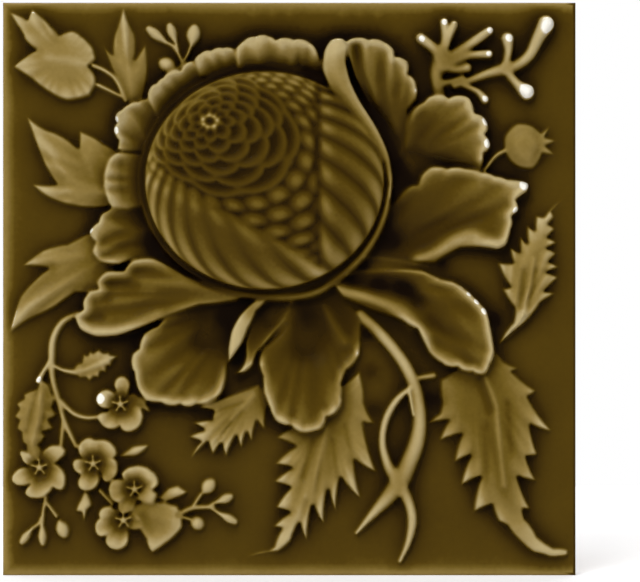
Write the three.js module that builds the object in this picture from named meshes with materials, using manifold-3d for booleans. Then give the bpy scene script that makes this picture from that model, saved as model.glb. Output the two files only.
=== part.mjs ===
// A square wall tile in moulded earthenware: a great cone-shaped flower on a bent stem, in high relief,
// with leaves, blossoms and sprigs around it on a plain field.  Millimetres, +Z up, +X to the right of
// someone facing the tile.  The flat back lies in the plane y = 0 and the relief points to -Y.
import * as THREE from 'three';
import * as BufferGeometryUtils from 'three/addons/utils/BufferGeometryUtils.js';
import Module from 'manifold-3d';

// Driving sizes
const TILE_SIDE = 152.4;          // a six-inch module
const BODY_THICKNESS = 9.5;       // back to field
const CROWN_HEIGHT = 9.5;         // field to the top of the flower head
const ARRIS = 0.9;                // rounding of the face's four edges
const KEY_DEPTH = 1.4;            // keying channels pressed in the back
const KEY_WIDTH = 11;
const KEY_LAND = 8;               // flat land between two channels
const KEY_MARGIN = 9;             // flat land round the back's edge
const KEY_DRAFT = 0.8;            // how much a channel narrows to its bottom, on each side

// The relief is drawn on a square of ART_SIDE, the face inside its arris, with the crown at ART_CROWN, and
// then set to the tile's sizes.
const ART_SIDE = 150.6;
const ART_CROWN = 9.5;
const ART_EDGE = 0.15;            // how far outside an outline its foot is surveyed
const OUTLINE_STEP = 2.3;         // spacing of the surveyed points along an outline
const LATTICE_STEP = 5.7;         // spacing of the points on the open field
const NEAREST = 0.66;             // points closer than this are one
const FOLD_GAP = 1.2;             // and nearest on a fold, on a twig and on the flower head
const TWIG_GAP = 0.45;
const HEAD_GAP = 1;
const SHARPEST = 0.35;            // how far an inset corner may run back in a sharp tip
const STOUT = 1.4;                // a twig with a half width over this is also surveyed on its shoulders
const SHOULDER = 0.7;
const FOOT_SPREAD = 1.12;         // how much wider than a twig its foot is surveyed
const BARE = 0.03;                // the most of a mask that a twig's foot may stand in
const DEG = Math.PI / 180;

// Small sums
const clamp01 = (t) => Math.min(1, Math.max(0, t));
const smooth = (t) => { const c = clamp01(t); return c * c * (3 - 2 * c); };
const mix = (a, b, t) => a + (b - a) * t;

// A run between two corners swells by a share of its length, full in the middle and square at its ends.
const SWELL_POWER = 2.4;
function runPoints(outline, step) {
  const area = outline.reduce((sum, [x, z], i) => {
    const [x2, z2] = outline[(i + 1) % outline.length];
    return sum + x * z2 - x2 * z;
  }, 0);
  const outward = area > 0 ? 1 : -1;
  const points = [];
  outline.forEach(([x, z, swell = 0], i) => {
    const [x2, z2] = outline[(i + 1) % outline.length];
    const [dx, dz] = [x2 - x, z2 - z];
    const length = Math.hypot(dx, dz);
    const pieces = swell === 0 ? Math.ceil(length / (step * 1.6)) : Math.max(2, Math.ceil(length / step));
    for (let k = 0; k < pieces; k += 1) {
      const t = k / pieces;
      const rise = outward * swell * 0.5 * (1 - Math.abs(2 * t - 1) ** SWELL_POWER);
      points.push([x + t * dx + dz * rise, z + t * dz - dx * rise]);
    }
  });
  return points;
}

// A line of points eased into a curve through them all, with whatever each carries beside its place
const CURVE_PIECES = 4;
function eased(points) {
  const line = [];
  for (let i = 0; i < points.length - 1; i += 1) {
    const [a, b] = [points[i], points[i + 1]];
    const before = points[Math.max(0, i - 1)];
    const after = points[Math.min(points.length - 1, i + 2)];
    for (let k = 0; k < CURVE_PIECES; k += 1) {
      const t = k / CURVE_PIECES;
      line.push(a.map((value, n) => {
        const bend = 2 * before[n] - 5 * value + 4 * b[n] - after[n];
        const twist = 3 * value - before[n] - 3 * b[n] + after[n];
        return value + 0.5 * ((b[n] - before[n]) * t + bend * t * t + twist * t ** 3);
      }));
    }
  }
  return [...line, points[points.length - 1]];
}

// Distance from a place to a line of points, with the share of the way along its nearest piece.
function nearestOnLine(x, z, points, closed = false) {
  let best = { distance: Infinity, piece: 0, share: 0 };
  const last = closed ? points.length : points.length - 1;
  for (let i = 0; i < last; i += 1) {
    const [ax, az] = points[i];
    const [bx, bz] = points[(i + 1) % points.length];
    const [dx, dz] = [bx - ax, bz - az];
    const share = clamp01(((x - ax) * dx + (z - az) * dz) / (dx * dx + dz * dz || 1));
    const distance = Math.hypot(x - ax - share * dx, z - az - share * dz);
    if (distance < best.distance) best = { distance, piece: i, share };
  }
  return best;
}

function isInside(x, z, points) {
  let inside = false;
  for (let i = 0, j = points.length - 1; i < points.length; j = i, i += 1) {
    const [ax, az] = points[i];
    const [bx, bz] = points[j];
    if ((az > z) !== (bz > z) && x < ((bx - ax) * (z - az)) / (bz - az) + ax) inside = !inside;
  }
  return inside;
}

// A blade is a petal or leaf.  Its height climbs from `near` to `far`, each a distance from its root and
// a height; its middle sinks by `cup` inside a raised lip, or swells by `dome`; folds are raised or sunk
// lines of a width and a height; each notch between two lobes sends a crease of its own length to the root.
const CREASE_WIDTH = 0.75;
const CREASE_DEPTH = 0.6;
const LOBE_SWELL = 0.08;
function blade(outline, root, near, far, options = {}) {
  const { cup = 0, dome = 0, lip = 2.2, edge = 1, folds = [], crease = 0 } = options;
  const edges = runPoints(outline, OUTLINE_STEP);
  const lines = folds.map(([points, width, height]) => ({ points: eased(points), width, height }));
  outline.forEach(([x, z], i) => {
    const before = outline[(i + outline.length - 1) % outline.length][2] ?? 0;
    const after = outline[i][2] ?? 0;
    if (crease === 0 || before < LOBE_SWELL || after < LOBE_SWELL) return;
    const reach = crease / Math.hypot(root[0] - x, root[1] - z);
    const end = [mix(x, root[0], reach), mix(z, root[1], reach)];
    lines.push({ points: [[x, z], end], width: CREASE_WIDTH, height: -CREASE_DEPTH, fades: true });
  });
  const box = boxOf(edges, ART_EDGE);
  return {
    edges, edge, folds: lines, box,
    cover(x, z) {
      if (!inBox(x, z, box)) return null;
      const { distance } = nearestOnLine(x, z, edges, true);
      if (!isInside(x, z, edges)) return null;
      const climb = smooth((Math.hypot(x - root[0], z - root[1]) - near[0]) / (far[0] - near[0]));
      let height = mix(near[1], far[1], climb);
      const within = smooth((distance - lip * 0.3) / lip);
      height += (dome - cup * climb) * within;
      for (const line of lines) {
        const found = nearestOnLine(x, z, line.points);
        const fade = line.fades ? 1 - found.share : 1;
        height += line.height * fade * Math.exp(-((found.distance / line.width) ** 2));
      }
      return { mask: 1 - (1 - clamp01(distance / edge)) ** 2, height: Math.max(height, 0.1) };
    },
  };
}

// A twig is a half-round line through points that are x, z, half its width there and its height.
function twig(corners) {
  const points = eased(corners);
  const box = boxOf(points, Math.max(...points.map((p) => p[2])) + ART_EDGE);
  return {
    twig: points, box,
    cover(x, z) {
      if (!inBox(x, z, box)) return null;
      let best = { across: Infinity, height: 0 };
      for (let i = 0; i < points.length - 1; i += 1) {
        const [a, b] = [points[i], points[i + 1]];
        const { distance, share } = nearestOnLine(x, z, [a, b]);
        const across = distance / mix(a[2], b[2], share);
        if (across < best.across) best = { across, height: mix(a[3], b[3], share) };
      }
      if (best.across >= 1) return null;
      return { mask: Math.sqrt(1 - best.across ** 2), height: best.height };
    },
  };
}

function boxOf(points, margin) {
  const xs = points.map((p) => p[0]);
  const zs = points.map((p) => p[1]);
  const [x0, z0] = [Math.min(...xs), Math.min(...zs)];
  return [x0 - margin, Math.max(...xs) + margin, z0 - margin, Math.max(...zs) + margin];
}
const inBox = (x, z, [x0, x1, z0, z1]) => x > x0 && x < x1 && z > z0 && z < z1;

// An oval outline in six arcs, turned anticlockwise from +X
const SIXTH_SWELL = 0.27;
function oval(x, z, halfLong, halfWide, turn = 0) {
  const [c, s] = [Math.cos(turn * DEG), Math.sin(turn * DEG)];
  return [0, 60, 120, 180, 240, 300].map((angle) => {
    const [u, v] = [halfLong * Math.cos(angle * DEG), halfWide * Math.sin(angle * DEG)];
    return [x + u * c - v * s, z + u * s + v * c, SIXTH_SWELL];
  });
}

// A toothed leaf: its corners are hollow and tip by turns, and the run up to a tip swells a little.
const toothed = (...corners) => corners.map(([x, z], i) => [x, z, i % 2 === 0 ? 0.1 : -0.06]);

// A bud on a stalk: the stalk's line, then the bud's two ends and half its greatest width
const BUD_HEIGHT = 2.7;
const STALK_HEIGHT = 1.8;
const BUD_WIDEST = 0.6;             // share of the way along it
const bud = (stalk, from, to, halfWide) => [
  twig(stalk.map(([x, z]) => [x, z, 0.6, STALK_HEIGHT])),
  twig([
    [...from, halfWide * 0.4, BUD_HEIGHT * 0.75],
    [mix(from[0], to[0], BUD_WIDEST), mix(from[1], to[1], BUD_WIDEST), halfWide, BUD_HEIGHT],
    [...to, halfWide * 0.7, BUD_HEIGHT * 0.85]]),
];

// Leaves and the bell flower that lie low on the field, upper left
const cornerLeaves = () => [
  blade([[-42.5, 49], [-47.4, 58.6], [-49.8, 65.6, -0.1], [-47, 62.4, 0.1], [-46.2, 68.6],
    [-44, 75, -0.06], [-41, 68, 0.1], [-41, 61], [-38.2, 65.2, 0.08], [-37.6, 56], [-38.8, 50]], [-42, 50],
    [4, 0.9], [24, 1.5], { dome: 0.5, lip: 2.6, edge: 0.9, folds: [[[[-42, 51],
    [-43.6, 70]], 0.8, 0.25]] }),
  blade([[-69.8, 46, -0.08], [-64, 42.2, 0.12], [-57.4, 38.6], [-56, 37.6], [-55.8, 42, 0.1],
    [-49.4, 38.8, 0.06], [-42, 34], [-42, 24], [-48.4, 21.6, 0.08], [-57, 22, 0.1], [-64.6, 24.6, 0.08],
    [-68.5, 28, -0.08], [-62, 27.9, 0.05], [-65.4, 33.6, 0.03]], [-46, 28], [3, 1.3], [28, 1.9],
    { dome: 0.6, lip: 3, edge: 0.9, folds: [[[[-48, 25.5], [-58, 29.5], [-66, 40]], 1, 0.3], [[[-50, 25.4],
    [-64, 26.4]], 0.9, 0.2], [[[-51, 27], [-55.4, 39]], 0.9, 0.2]] }),
  blade([[-71, 6, 0.06], [-65.4, 10.4, 0.08], [-59, 12], [-52.6, 15.4, 0.05], [-46, 14], [-46, -2],
    [-56.6, -1.1], [-60, -3.4, 0.06], [-67, -7.2, -0.06], [-74.2, -11.6, 0.06], [-71.6, -2, 0.08],
    [-64.2, 5.4, -0.08]], [-50, 8], [3, 1.3], [26, 1.8], { dome: 0.6, lip: 3, edge: 0.9,
    folds: [[[[-51, 9], [-65, 8.4]], 1, 0.2], [[[-51, 7], [-66, -2.5], [-73, -9]], 1, 0.25]] }),
];
const bellFlower = () => [
  twig([[-52, 59.3, 0.7, 1.9], [-49, 58, 0.65, 1.7], [-46, 55.5, 0.65, 1.6], [-43.4, 50, 0.7, 1.6]]),
  twig([[-50.8, 54.2, 0.6, 1.8], [-47.5, 52.6, 0.5, 1.5], [-43.6, 50.6, 0.5, 1.4]]),
  blade([[-74.3, 73.5, 0.1], [-69.6, 71.7], [-68.4, 74.4, 0.08], [-63, 69.8, 0.08], [-61, 67.6, 0.15],
    [-57.4, 68.7, 0.15], [-55.2, 67.4, 0.1], [-52, 64.2, 0.12], [-51.2, 60.6], [-53, 59.2],
    [-51.6, 57.4, 0.15], [-51.1, 54.6, 0.1], [-53, 51.2, 0.05], [-58, 50, 0.15], [-62.4, 51.3, 0.06],
    [-68.4, 55.6], [-73.4, 59, 0.08], [-67.6, 63.5, 0.1], [-70.4, 66.2, -0.08], [-72.4, 70]], [-60, 61],
    [2, 1.6], [14, 2.3], { cup: 0.1, dome: 0.4, lip: 2.6, folds: [[[[-64, 61.4], [-58, 60.6],
    [-52, 59]], 1.1, 0.4], [[[-66, 57], [-60, 54.6], [-54.4, 55]], 2.6, -0.3], [[[-62, 66], [-57, 65],
    [-54, 62.6]], 2, -0.25], [[[-70, 68.4], [-66, 69.6]], 1.6, -0.2]] }),
];
const budSprig = () => [
  ...bud([[-28.4, 60], [-29.4, 62.4], [-31, 64.6], [-33, 65.6]], [-32.8, 65.6], [-37.2, 69], 1.5),
  ...bud([[-29.6, 63.2], [-30.2, 66.4]], [-30.3, 65.8], [-31.7, 69.8], 1.5),
  ...bud([[-28, 60.3], [-26.8, 62.6], [-25.8, 65.2]], [-25.8, 65], [-25.2, 69], 2.1),
  ...bud([[-28.4, 59.6], [-29.6, 58.4]], [-30.6, 58.6], [-33.4, 60], 2.2),
];

// The long arching spray, lower left, with its two serrated leaves and five blossoms
const leftSpray = () => [
  twig([[-56.2, -6.6, 0.9, 1.9], [-60.2, -8.8, 1, 2], [-62.6, -13, 1.1, 2.2], [-63.1, -18, 1.15, 2.3],
    [-62.8, -24, 1, 2.2], [-61, -30.5, 0.95, 2], [-59.6, -35.5, 0.85, 2], [-56.6, -41.8, 0.8, 1.8]]),
  twig([[-60, -35, 0.7, 1.8], [-60.6, -41.6, 0.8, 1.6]]),
  twig([[-60.6, -30, 0.9, 2], [-57.4, -33, 0.75, 2], [-54, -34.2, 0.65, 2], [-50.4, -34, 0.7, 2]]),
  twig([[-63.4, -19, 0.8, 2.2], [-65, -21.6, 0.75, 2.5], [-66.6, -24.4, 0.9, 2.8]]),
  twig([[-62.4, -20.4, 0.6, 2.2], [-60, -21.6, 0.65, 2.2], [-56.6, -22.2, 0.8, 2]]),
  blade(toothed([-57.6, -21.6], [-56, -19.6], [-55.2, -19.6], [-54.6, -17.2], [-53.6, -17.6],
    [-52.8, -16.3], [-52, -16.9], [-50.4, -15.9], [-49.2, -16.9], [-47.8, -16.7], [-47.3, -17.4],
    [-45.2, -18], [-47, -19.2], [-47.2, -20.4], [-48.4, -20.6], [-48.6, -22.2], [-50, -22], [-50.6, -23.8],
    [-51.8, -23.4], [-53.2, -24.6], [-54.2, -23.6], [-56, -23.6]), [-57, -22], [1, 1.4], [9, 2],
    { dome: 0.3, lip: 1.6, edge: 0.7, folds: [[[[-57, -22.2], [-52, -20.6], [-47, -18.6]], 0.6, 0.35],
    [[[-55, -20.8], [-50, -18.4]], 0.5, -0.25], [[[-54.6, -22.8], [-49.6, -21]], 0.5, -0.25]] }),
  blade(toothed([-65.6, -23.8], [-67.2, -26.4], [-68, -26.8], [-70.6, -28], [-70.6, -29.2], [-72.6, -30.6],
    [-71.8, -32], [-73, -34], [-71.8, -35], [-72.4, -37.4], [-71.2, -38.2], [-70.8, -41], [-70, -41.6],
    [-69.2, -46], [-66.4, -46], [-65.6, -42.6], [-66.4, -41.4], [-64.6, -39.2], [-65.4, -38], [-62.4, -37],
    [-63.8, -34.8], [-61.6, -33.4], [-62.8, -31.4], [-62, -28.8], [-63, -27.6], [-63.8, -25.2]),
    [-66, -24], [2, 1.7], [18, 1.5], { dome: 0.5, lip: 2, edge: 0.7, folds: [[[[-66, -24], [-66.4, -32],
    [-68, -41]], 0.7, 0.35], [[[-66.6, -26], [-68.6, -33], [-69.6, -38]], 0.6, -0.4], [[[-65.4, -26],
    [-64.8, -32], [-65.8, -37]], 0.6, -0.4], [[[-64.4, -26.6], [-63.6, -32]], 0.5, -0.3]] }),
];

// A blossom: its middle, then the petals as ovals of a place, two half sizes, a turn and a height.  They
// rise outwards, and the corner of each that is nearest the middle is drawn out to it as a claw.
const BLOSSOM_HEIGHT = 2.7;
const CLAW = 0.2;
function blossom([x, z], ...petals) {
  return petals.map(([px, pz, halfLong, halfWide, turn = 0, height = BLOSSOM_HEIGHT]) => {
    const outline = oval(px, pz, halfLong, halfWide, turn);
    const away = outline.map((corner) => Math.hypot(corner[0] - x, corner[1] - z));
    const claw = outline[away.indexOf(Math.min(...away))];
    claw[0] = mix(x, claw[0], CLAW);
    claw[1] = mix(z, claw[1], CLAW);
    const reach = Math.hypot(px - x, pz - z) + 0.7 * halfLong;
    return blade(outline, [x, z], [0.6, 0.9], [reach, height], { cup: 0.35, dome: 0.1, lip: 1.3, edge: 0.9 });
  });
}
const leftBlossoms = () => [
  ...blossom([-44.8, -30.6], [-39.4, -30.2, 3.4, 1.1, -45, 2], [-44.3, -25.6, 2.6, 2.3, 90],
    [-48.5, -29.3, 2.9, 2.6, 10, 3.2], [-47.9, -34.9, 3.3, 2.2, -28], [-41.9, -34.6, 3.9, 2.9, 50]),
  ...blossom([-66.3, -47.4], [-62.5, -43.6, 3.4, 2.1, 10], [-61.8, -49.9, 3.9, 2.4, -68],
    [-66.4, -53.2, 4, 2.3, 18], [-70.4, -49.8, 3.5, 2.4, 20], [-69.4, -45.2, 3, 1.3, -48, 3]),
  ...blossom([-52, -46.4], [-49.2, -42.6, 3.9, 2.5, -24], [-53.4, -42.4, 3.1, 2.7, 60],
    [-55.4, -47.2, 2.6, 2, -42], [-47.6, -48.2, 3.5, 2.2, 68], [-53.2, -51, 3.3, 2.6, 30]),
  blade([[-45.4, -44.6, 0.04], [-41.6, -41.7, 0.1], [-37.1, -41.5, 0.12], [-40.4, -44.4, 0.1]], [-46, -44],
    [1, 1.2], [8, 2], { dome: 0.4, lip: 1.4, edge: 0.8 }),
  blade([[-54.6, -53.6], [-55.6, -56, 0.1], [-56.8, -59.2], [-55.2, -59.4], [-54.5, -62.2], [-53.5, -58.8],
    [-52.2, -57.6, 0.1], [-53.4, -54]], [-54, -53], [1, 1.6], [7, 2], { dome: 0.3, lip: 1.2, edge: 0.7 }),
  twig([[-50.2, -53.6, 0.7, 1.8], [-47, -57.2, 0.6, 1.8]]),
  blade([[-35, -55.6], [-32.4, -53, 0.1], [-29.4, -52.2], [-26.8, -54, 0.05], [-29.8, -55.6], [-33, -57]],
    [-35, -56], [1, 1.3], [8, 2.1], { dome: 0.3, lip: 1.4, edge: 0.7 }),
  blade([[-42.6, -58.6, 0.08], [-38, -56], [-33, -56.4], [-29.5, -57.4, 0.14], [-28, -63.2, 0.1],
    [-32.4, -67.6, 0.05], [-36.4, -70.2, 0.2], [-38.2, -66.6], [-40.2, -63.6]], [-39.5, -58.5], [1, 1.3],
    [12, 2.5], { cup: 0.3, dome: 0.3, lip: 1.8, folds: [[[[-39, -60], [-37, -64.6]], 1.2, -0.4],
    [[[-36, -59.5], [-31, -61.5]], 1.4, 0.3]] }),
  ...blossom([-44, -61.4], [-48.6, -59.4, 2.4, 1.7, 30], [-49.2, -63, 3.1, 2.4, 65],
    [-45.7, -66.6, 3.3, 2.7, 10], [-41.6, -61.8, 3, 2.2, -30, 1.9]),
  ...blossom([-41, -53.2], [-45.4, -53.6, 2.7, 3.4, 10], [-43.2, -57.4, 2.8, 2.2, 40, 2.2],
    [-39.6, -50.4, 5.2, 3.3, -14, 3.1]),
  blade([[-40.9, -55.8, 0.2], [-36, -57.4, 0.2], [-34.6, -54.4, 0.2], [-37.6, -52.4, 0.24]], [-40, -54],
    [0.5, 1.4], [4, 2.4], { dome: 0.5, lip: 1.2, edge: 0.8 }),
];
const lowerSprigs = () => [
  twig([[-29.4, -60, 0.9, 1.9], [-25.6, -58.2, 0.8, 1.9], [-20, -58, 0.6, 1.8]]),
  ...bud([[-25.4, -57.6], [-23.4, -54.6]], [-22.6, -53.8], [-20.7, -51.6], 2),
  ...bud([[-21.6, -57.9], [-19, -56.4]], [-19, -56.6], [-15.6, -55.2], 1.4),
  ...bud([[-21, -58], [-18.6, -59.6]], [-18.6, -59.6], [-14.4, -61.8], 1.3),
  ...bud([[-28.4, -60.6], [-26.4, -61.2]], [-25.4, -61.6], [-23.8, -62.6], 1.95),
  twig([[-64.6, -55.4, 0.7, 1.9], [-65.3, -59, 0.6, 1.8], [-65.5, -62, 0.6, 1.8]]),
  ...bud([[-65.4, -60], [-65.6, -62.6]], [-65.6, -62.6], [-65.5, -67.4], 1.35),
  ...bud([[-65.8, -60.8], [-66.6, -62.4], [-68.2, -63.6]], [-68.4, -63.8], [-71, -67.2], 1.2),
  ...bud([[-64.4, -56.8], [-61.8, -60.4]], [-61, -62], [-59.8, -65], 1.95),
];

// The toothed leaves of the lower half and the right edge
const toothedLeaves = () => [
  blade(toothed([-19, -29], [-24.6, -31.7], [-20.2, -32.6], [-20.6, -34.6], [-20.8, -34.6], [-25.7, -35.6],
    [-22.8, -37.4], [-26.8, -39.4], [-23.6, -40.6], [-26.3, -45.4], [-21.6, -40.8], [-20.2, -44.2],
    [-18, -41.2], [-16.6, -44.8], [-14, -39.2], [-12.5, -42.6], [-11.2, -38.2], [-9.8, -40.8],
    [-8.5, -35.2], [-6.3, -37.6], [-5.6, -31], [-8, -25]), [-9, -27], [3, 0.9], [17, 2.5], { dome: 0.2,
    lip: 2, edge: 0.9, folds: [[[[-9.5, -28], [-15, -34.4]], 0.7, 0.4], [[[-12, -30],
    [-18, -32]], 0.6, -0.3], [[[-12.5, -32.5], [-17.5, -38]], 0.6, -0.3]] }),
  blade(toothed([0.4, -36.6], [-3.4, -39.7], [1.5, -41.8], [-3.8, -46.7], [0.5, -47.6], [-4.1, -51.3],
    [0.1, -52.8], [-3.6, -58.2], [-0.1, -59.4], [-4.3, -63.3], [-2.2, -63.7], [-4, -68.4], [-5.6, -69.6],
    [-11.9, -71.5], [-3, -69.8], [0.8, -66.6], [2.7, -62.4], [4.9, -67.2], [6.3, -57.7], [9.4, -62.6],
    [10.4, -53.6], [12.6, -59.4], [13.8, -50.3], [19.3, -55.9], [17.5, -45.6], [23.5, -48.8],
    [19.8, -35.6], [22.8, -35.8], [20, -30], [18.7, -21.7], [10, -28], [3, -30]), [10, -33], [3, 0.7],
    [26, 2.5], { dome: 0.3, lip: 2.2, edge: 1, folds: [[[[10, -36.8], [7.6, -46], [4.6, -55]], 0.9, 0.5],
    [[[11.6, -40], [12.4, -50]], 0.7, -0.3], [[[6.4, -40], [3.4, -50]], 0.7, -0.35], [[[14.8, -36],
    [17, -46]], 0.7, -0.3]] }),
  blade(toothed([40.2, -24], [40.4, -30], [39.8, -33], [36.8, -36], [42.2, -35], [39.9, -40.5],
    [45.7, -38.7], [43.9, -46.2], [48, -44.4], [45.6, -52.3], [50.7, -50.1], [49, -59.4], [53.8, -57.5],
    [55.6, -62], [57.8, -63], [65, -70.2], [69, -71.2], [74.2, -70.6], [74.2, -69.3], [70.4, -68.7],
    [66, -65.6], [62.8, -61], [62.3, -58.6], [64.3, -58.4], [60.9, -50], [65.8, -51], [63.2, -44.6],
    [66.2, -44], [64.2, -36.2], [70, -37.8], [63.6, -28.7], [65.8, -27], [59.4, -22], [61, -21], [57, -19],
    [52, -14]), [49, -20], [4, 1.2], [32, 2.5], { dome: 0.3, lip: 2.4, edge: 1, folds: [[[[52, -23.6],
    [54.8, -31], [55.6, -40], [57, -52]], 0.8, 0.65], [[[50.6, -24], [53.4, -32]], 1.3, -0.5], [[[58, -30],
    [59, -44]], 0.9, -0.3], [[[52, -36], [52.6, -48]], 0.9, -0.3]] }),
  blade(toothed([55.4, -15.4], [59.4, -9], [59.7, -5], [56.6, 0.1], [58.6, 0.6], [55.4, 7.1], [59.4, 7],
    [58.6, 11.4], [61.2, 9.8], [61.5, 14.2], [63.2, 12.2], [63.3, 16.9], [65.2, 15.6], [65.7, 19.5],
    [67.7, 19.2], [73.9, 24.6], [69.7, 20.6], [70.5, 19], [69, 17.2], [70.8, 15.9], [68.8, 13.7],
    [71.3, 12.2], [68.6, 10.8], [71.2, 9.4], [69.2, 7.2], [71.8, 5.7], [68.6, 4.4], [71.6, 3], [68, -0.6],
    [70.8, -1.3], [66.8, -3.8], [61.4, -10]), [57, -14], [3, 2.4], [24, 2], { cup: -0.1, dome: 0.2,
    lip: 1.7, edge: 0.8, folds: [[[[55.8, -14.9], [61.8, -7.2]], 1.1, 1], [[[61.8, -7.2], [63.6, 0.5],
    [64.9, 8]], 0.65, 0.55], [[[61.2, -5], [62.3, 5]], 0.8, -0.5], [[[63.6, -4.4],
    [65.6, 5]], 0.7, -0.5]] }),
];

// The bent main stem, its loop and its two roots
const mainStem = () => [
  twig([[19, -7, 1.7, 2], [23.5, -11.2, 1.8, 2.6], [27.6, -15.8, 1.8, 2.8], [31.4, -21.4, 1.9, 3],
    [33.9, -28, 2, 3], [34.7, -35, 2.1, 3.1], [33.8, -41, 2.4, 3.1], [31.6, -46.6, 2.6, 3.1],
    [29.4, -51, 2.9, 3], [27, -54.5, 2.4, 2.8], [22, -60, 1.3, 2.6], [17.8, -64.9, 0.4, 2.2]]),
  twig([[34.6, -23.6, 0.8, 2.2], [38.4, -23, 0.9, 1.8]]),
  twig([[30, -53, 2, 2.8], [32, -57.4, 1.6, 2.8], [32.7, -62, 1.5, 2.8], [31.6, -67.4, 1, 2.6],
    [29.4, -72.3, 0.5, 2.2]]),
  twig([[32.2, -26.2, 0.9, 3.1], [28.4, -29.8, 1.1, 3.1], [25.6, -35, 1.15, 3], [24.8, -41, 1.2, 3],
    [26.2, -46.6, 1.6, 3], [28.6, -50.6, 2.2, 2.9]]),
  twig([[31.8, -27, 0.7, 3.4], [32.9, -33.4, 0.5, 3.2]]),
];

// The branching sprig with club ends, upper right, and the round fruit under it
const clubSprig = () => [
  twig([[44, 54, 1.2, 2.6], [48, 55.4, 1.2, 2.6], [52.6, 57.2, 1.4, 2.8], [57, 58.4, 1.9, 3],
    [60.4, 59.4, 1.7, 3.2], [63.8, 62.2, 1.7, 3.6], [66.2, 66.8, 2, 4.2], [68.2, 70.4, 2.4, 4.8]]),
  twig([[57.4, 59, 1.5, 3], [58.2, 63, 1.4, 3.4], [58, 66.4, 1.9, 4]]),
  twig([[57.8, 57.8, 1.5, 3], [60.6, 54.4, 1.5, 3.4], [63, 52.4, 2.3, 4.4]]),
  twig([[46.6, 54, 1, 2.6], [50, 52.4, 1.1, 2.8], [51.8, 50.4, 1.4, 3]]),
  twig([[40, 51.4, 1.8, 2.2], [39.2, 57, 2, 2.6], [40.6, 61, 2.9, 3], [38.8, 63.6, 1.8, 3.2],
    [35, 66.6, 1.5, 4]]),
  twig([[40.6, 61.6, 2.2, 3], [41.4, 66, 1.5, 3.4], [41.2, 70.8, 1.3, 4]]),
  twig([[41.6, 65, 1.4, 3.4], [43.8, 70.2, 1.2, 4]]),
  twig([[42, 61, 2, 3], [46.4, 63.8, 1.7, 3.2], [50.4, 66.6, 1.5, 3.8], [53.2, 68.6, 1.2, 4]]),
  twig([[43, 60, 2, 3], [47.6, 62, 1.4, 3.2], [53, 62.4, 1.3, 3.8]]),
  twig([[41, 59.6, 2, 3], [44, 58.2, 1.2, 3], [47.2, 58.8, 1.6, 3.4]]),
  twig([[39.6, 54.4, 1.3, 2.4], [43, 55, 1.1, 2.4], [46, 56, 1.2, 2.6]]),
];
const fruit = () => [
  twig([[52, 31.6, 0.7, 2.2], [55, 35.4, 0.65, 2], [58.4, 37.2, 0.8, 2]]),
  blade([[57, 40.4, 0.16], [60.4, 44, 0.18], [65.2, 43.2, 0.05], [67, 41.6], [69.4, 43.4], [68.2, 40.4],
    [71.2, 39.4], [68.4, 38], [70.8, 35.6], [67.4, 35.8, 0.14], [65, 32, 0.2], [60, 32.6, 0.16],
    [57.2, 36.2, 0.14]], [62, 38], [0, 2.4], [8, 1.6], { dome: 0.7, lip: 3, edge: 1,
    folds: [[[[65.4, 42.6], [66.2, 38.6], [65, 33.4]], 1, -0.2]] }),
];

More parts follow.
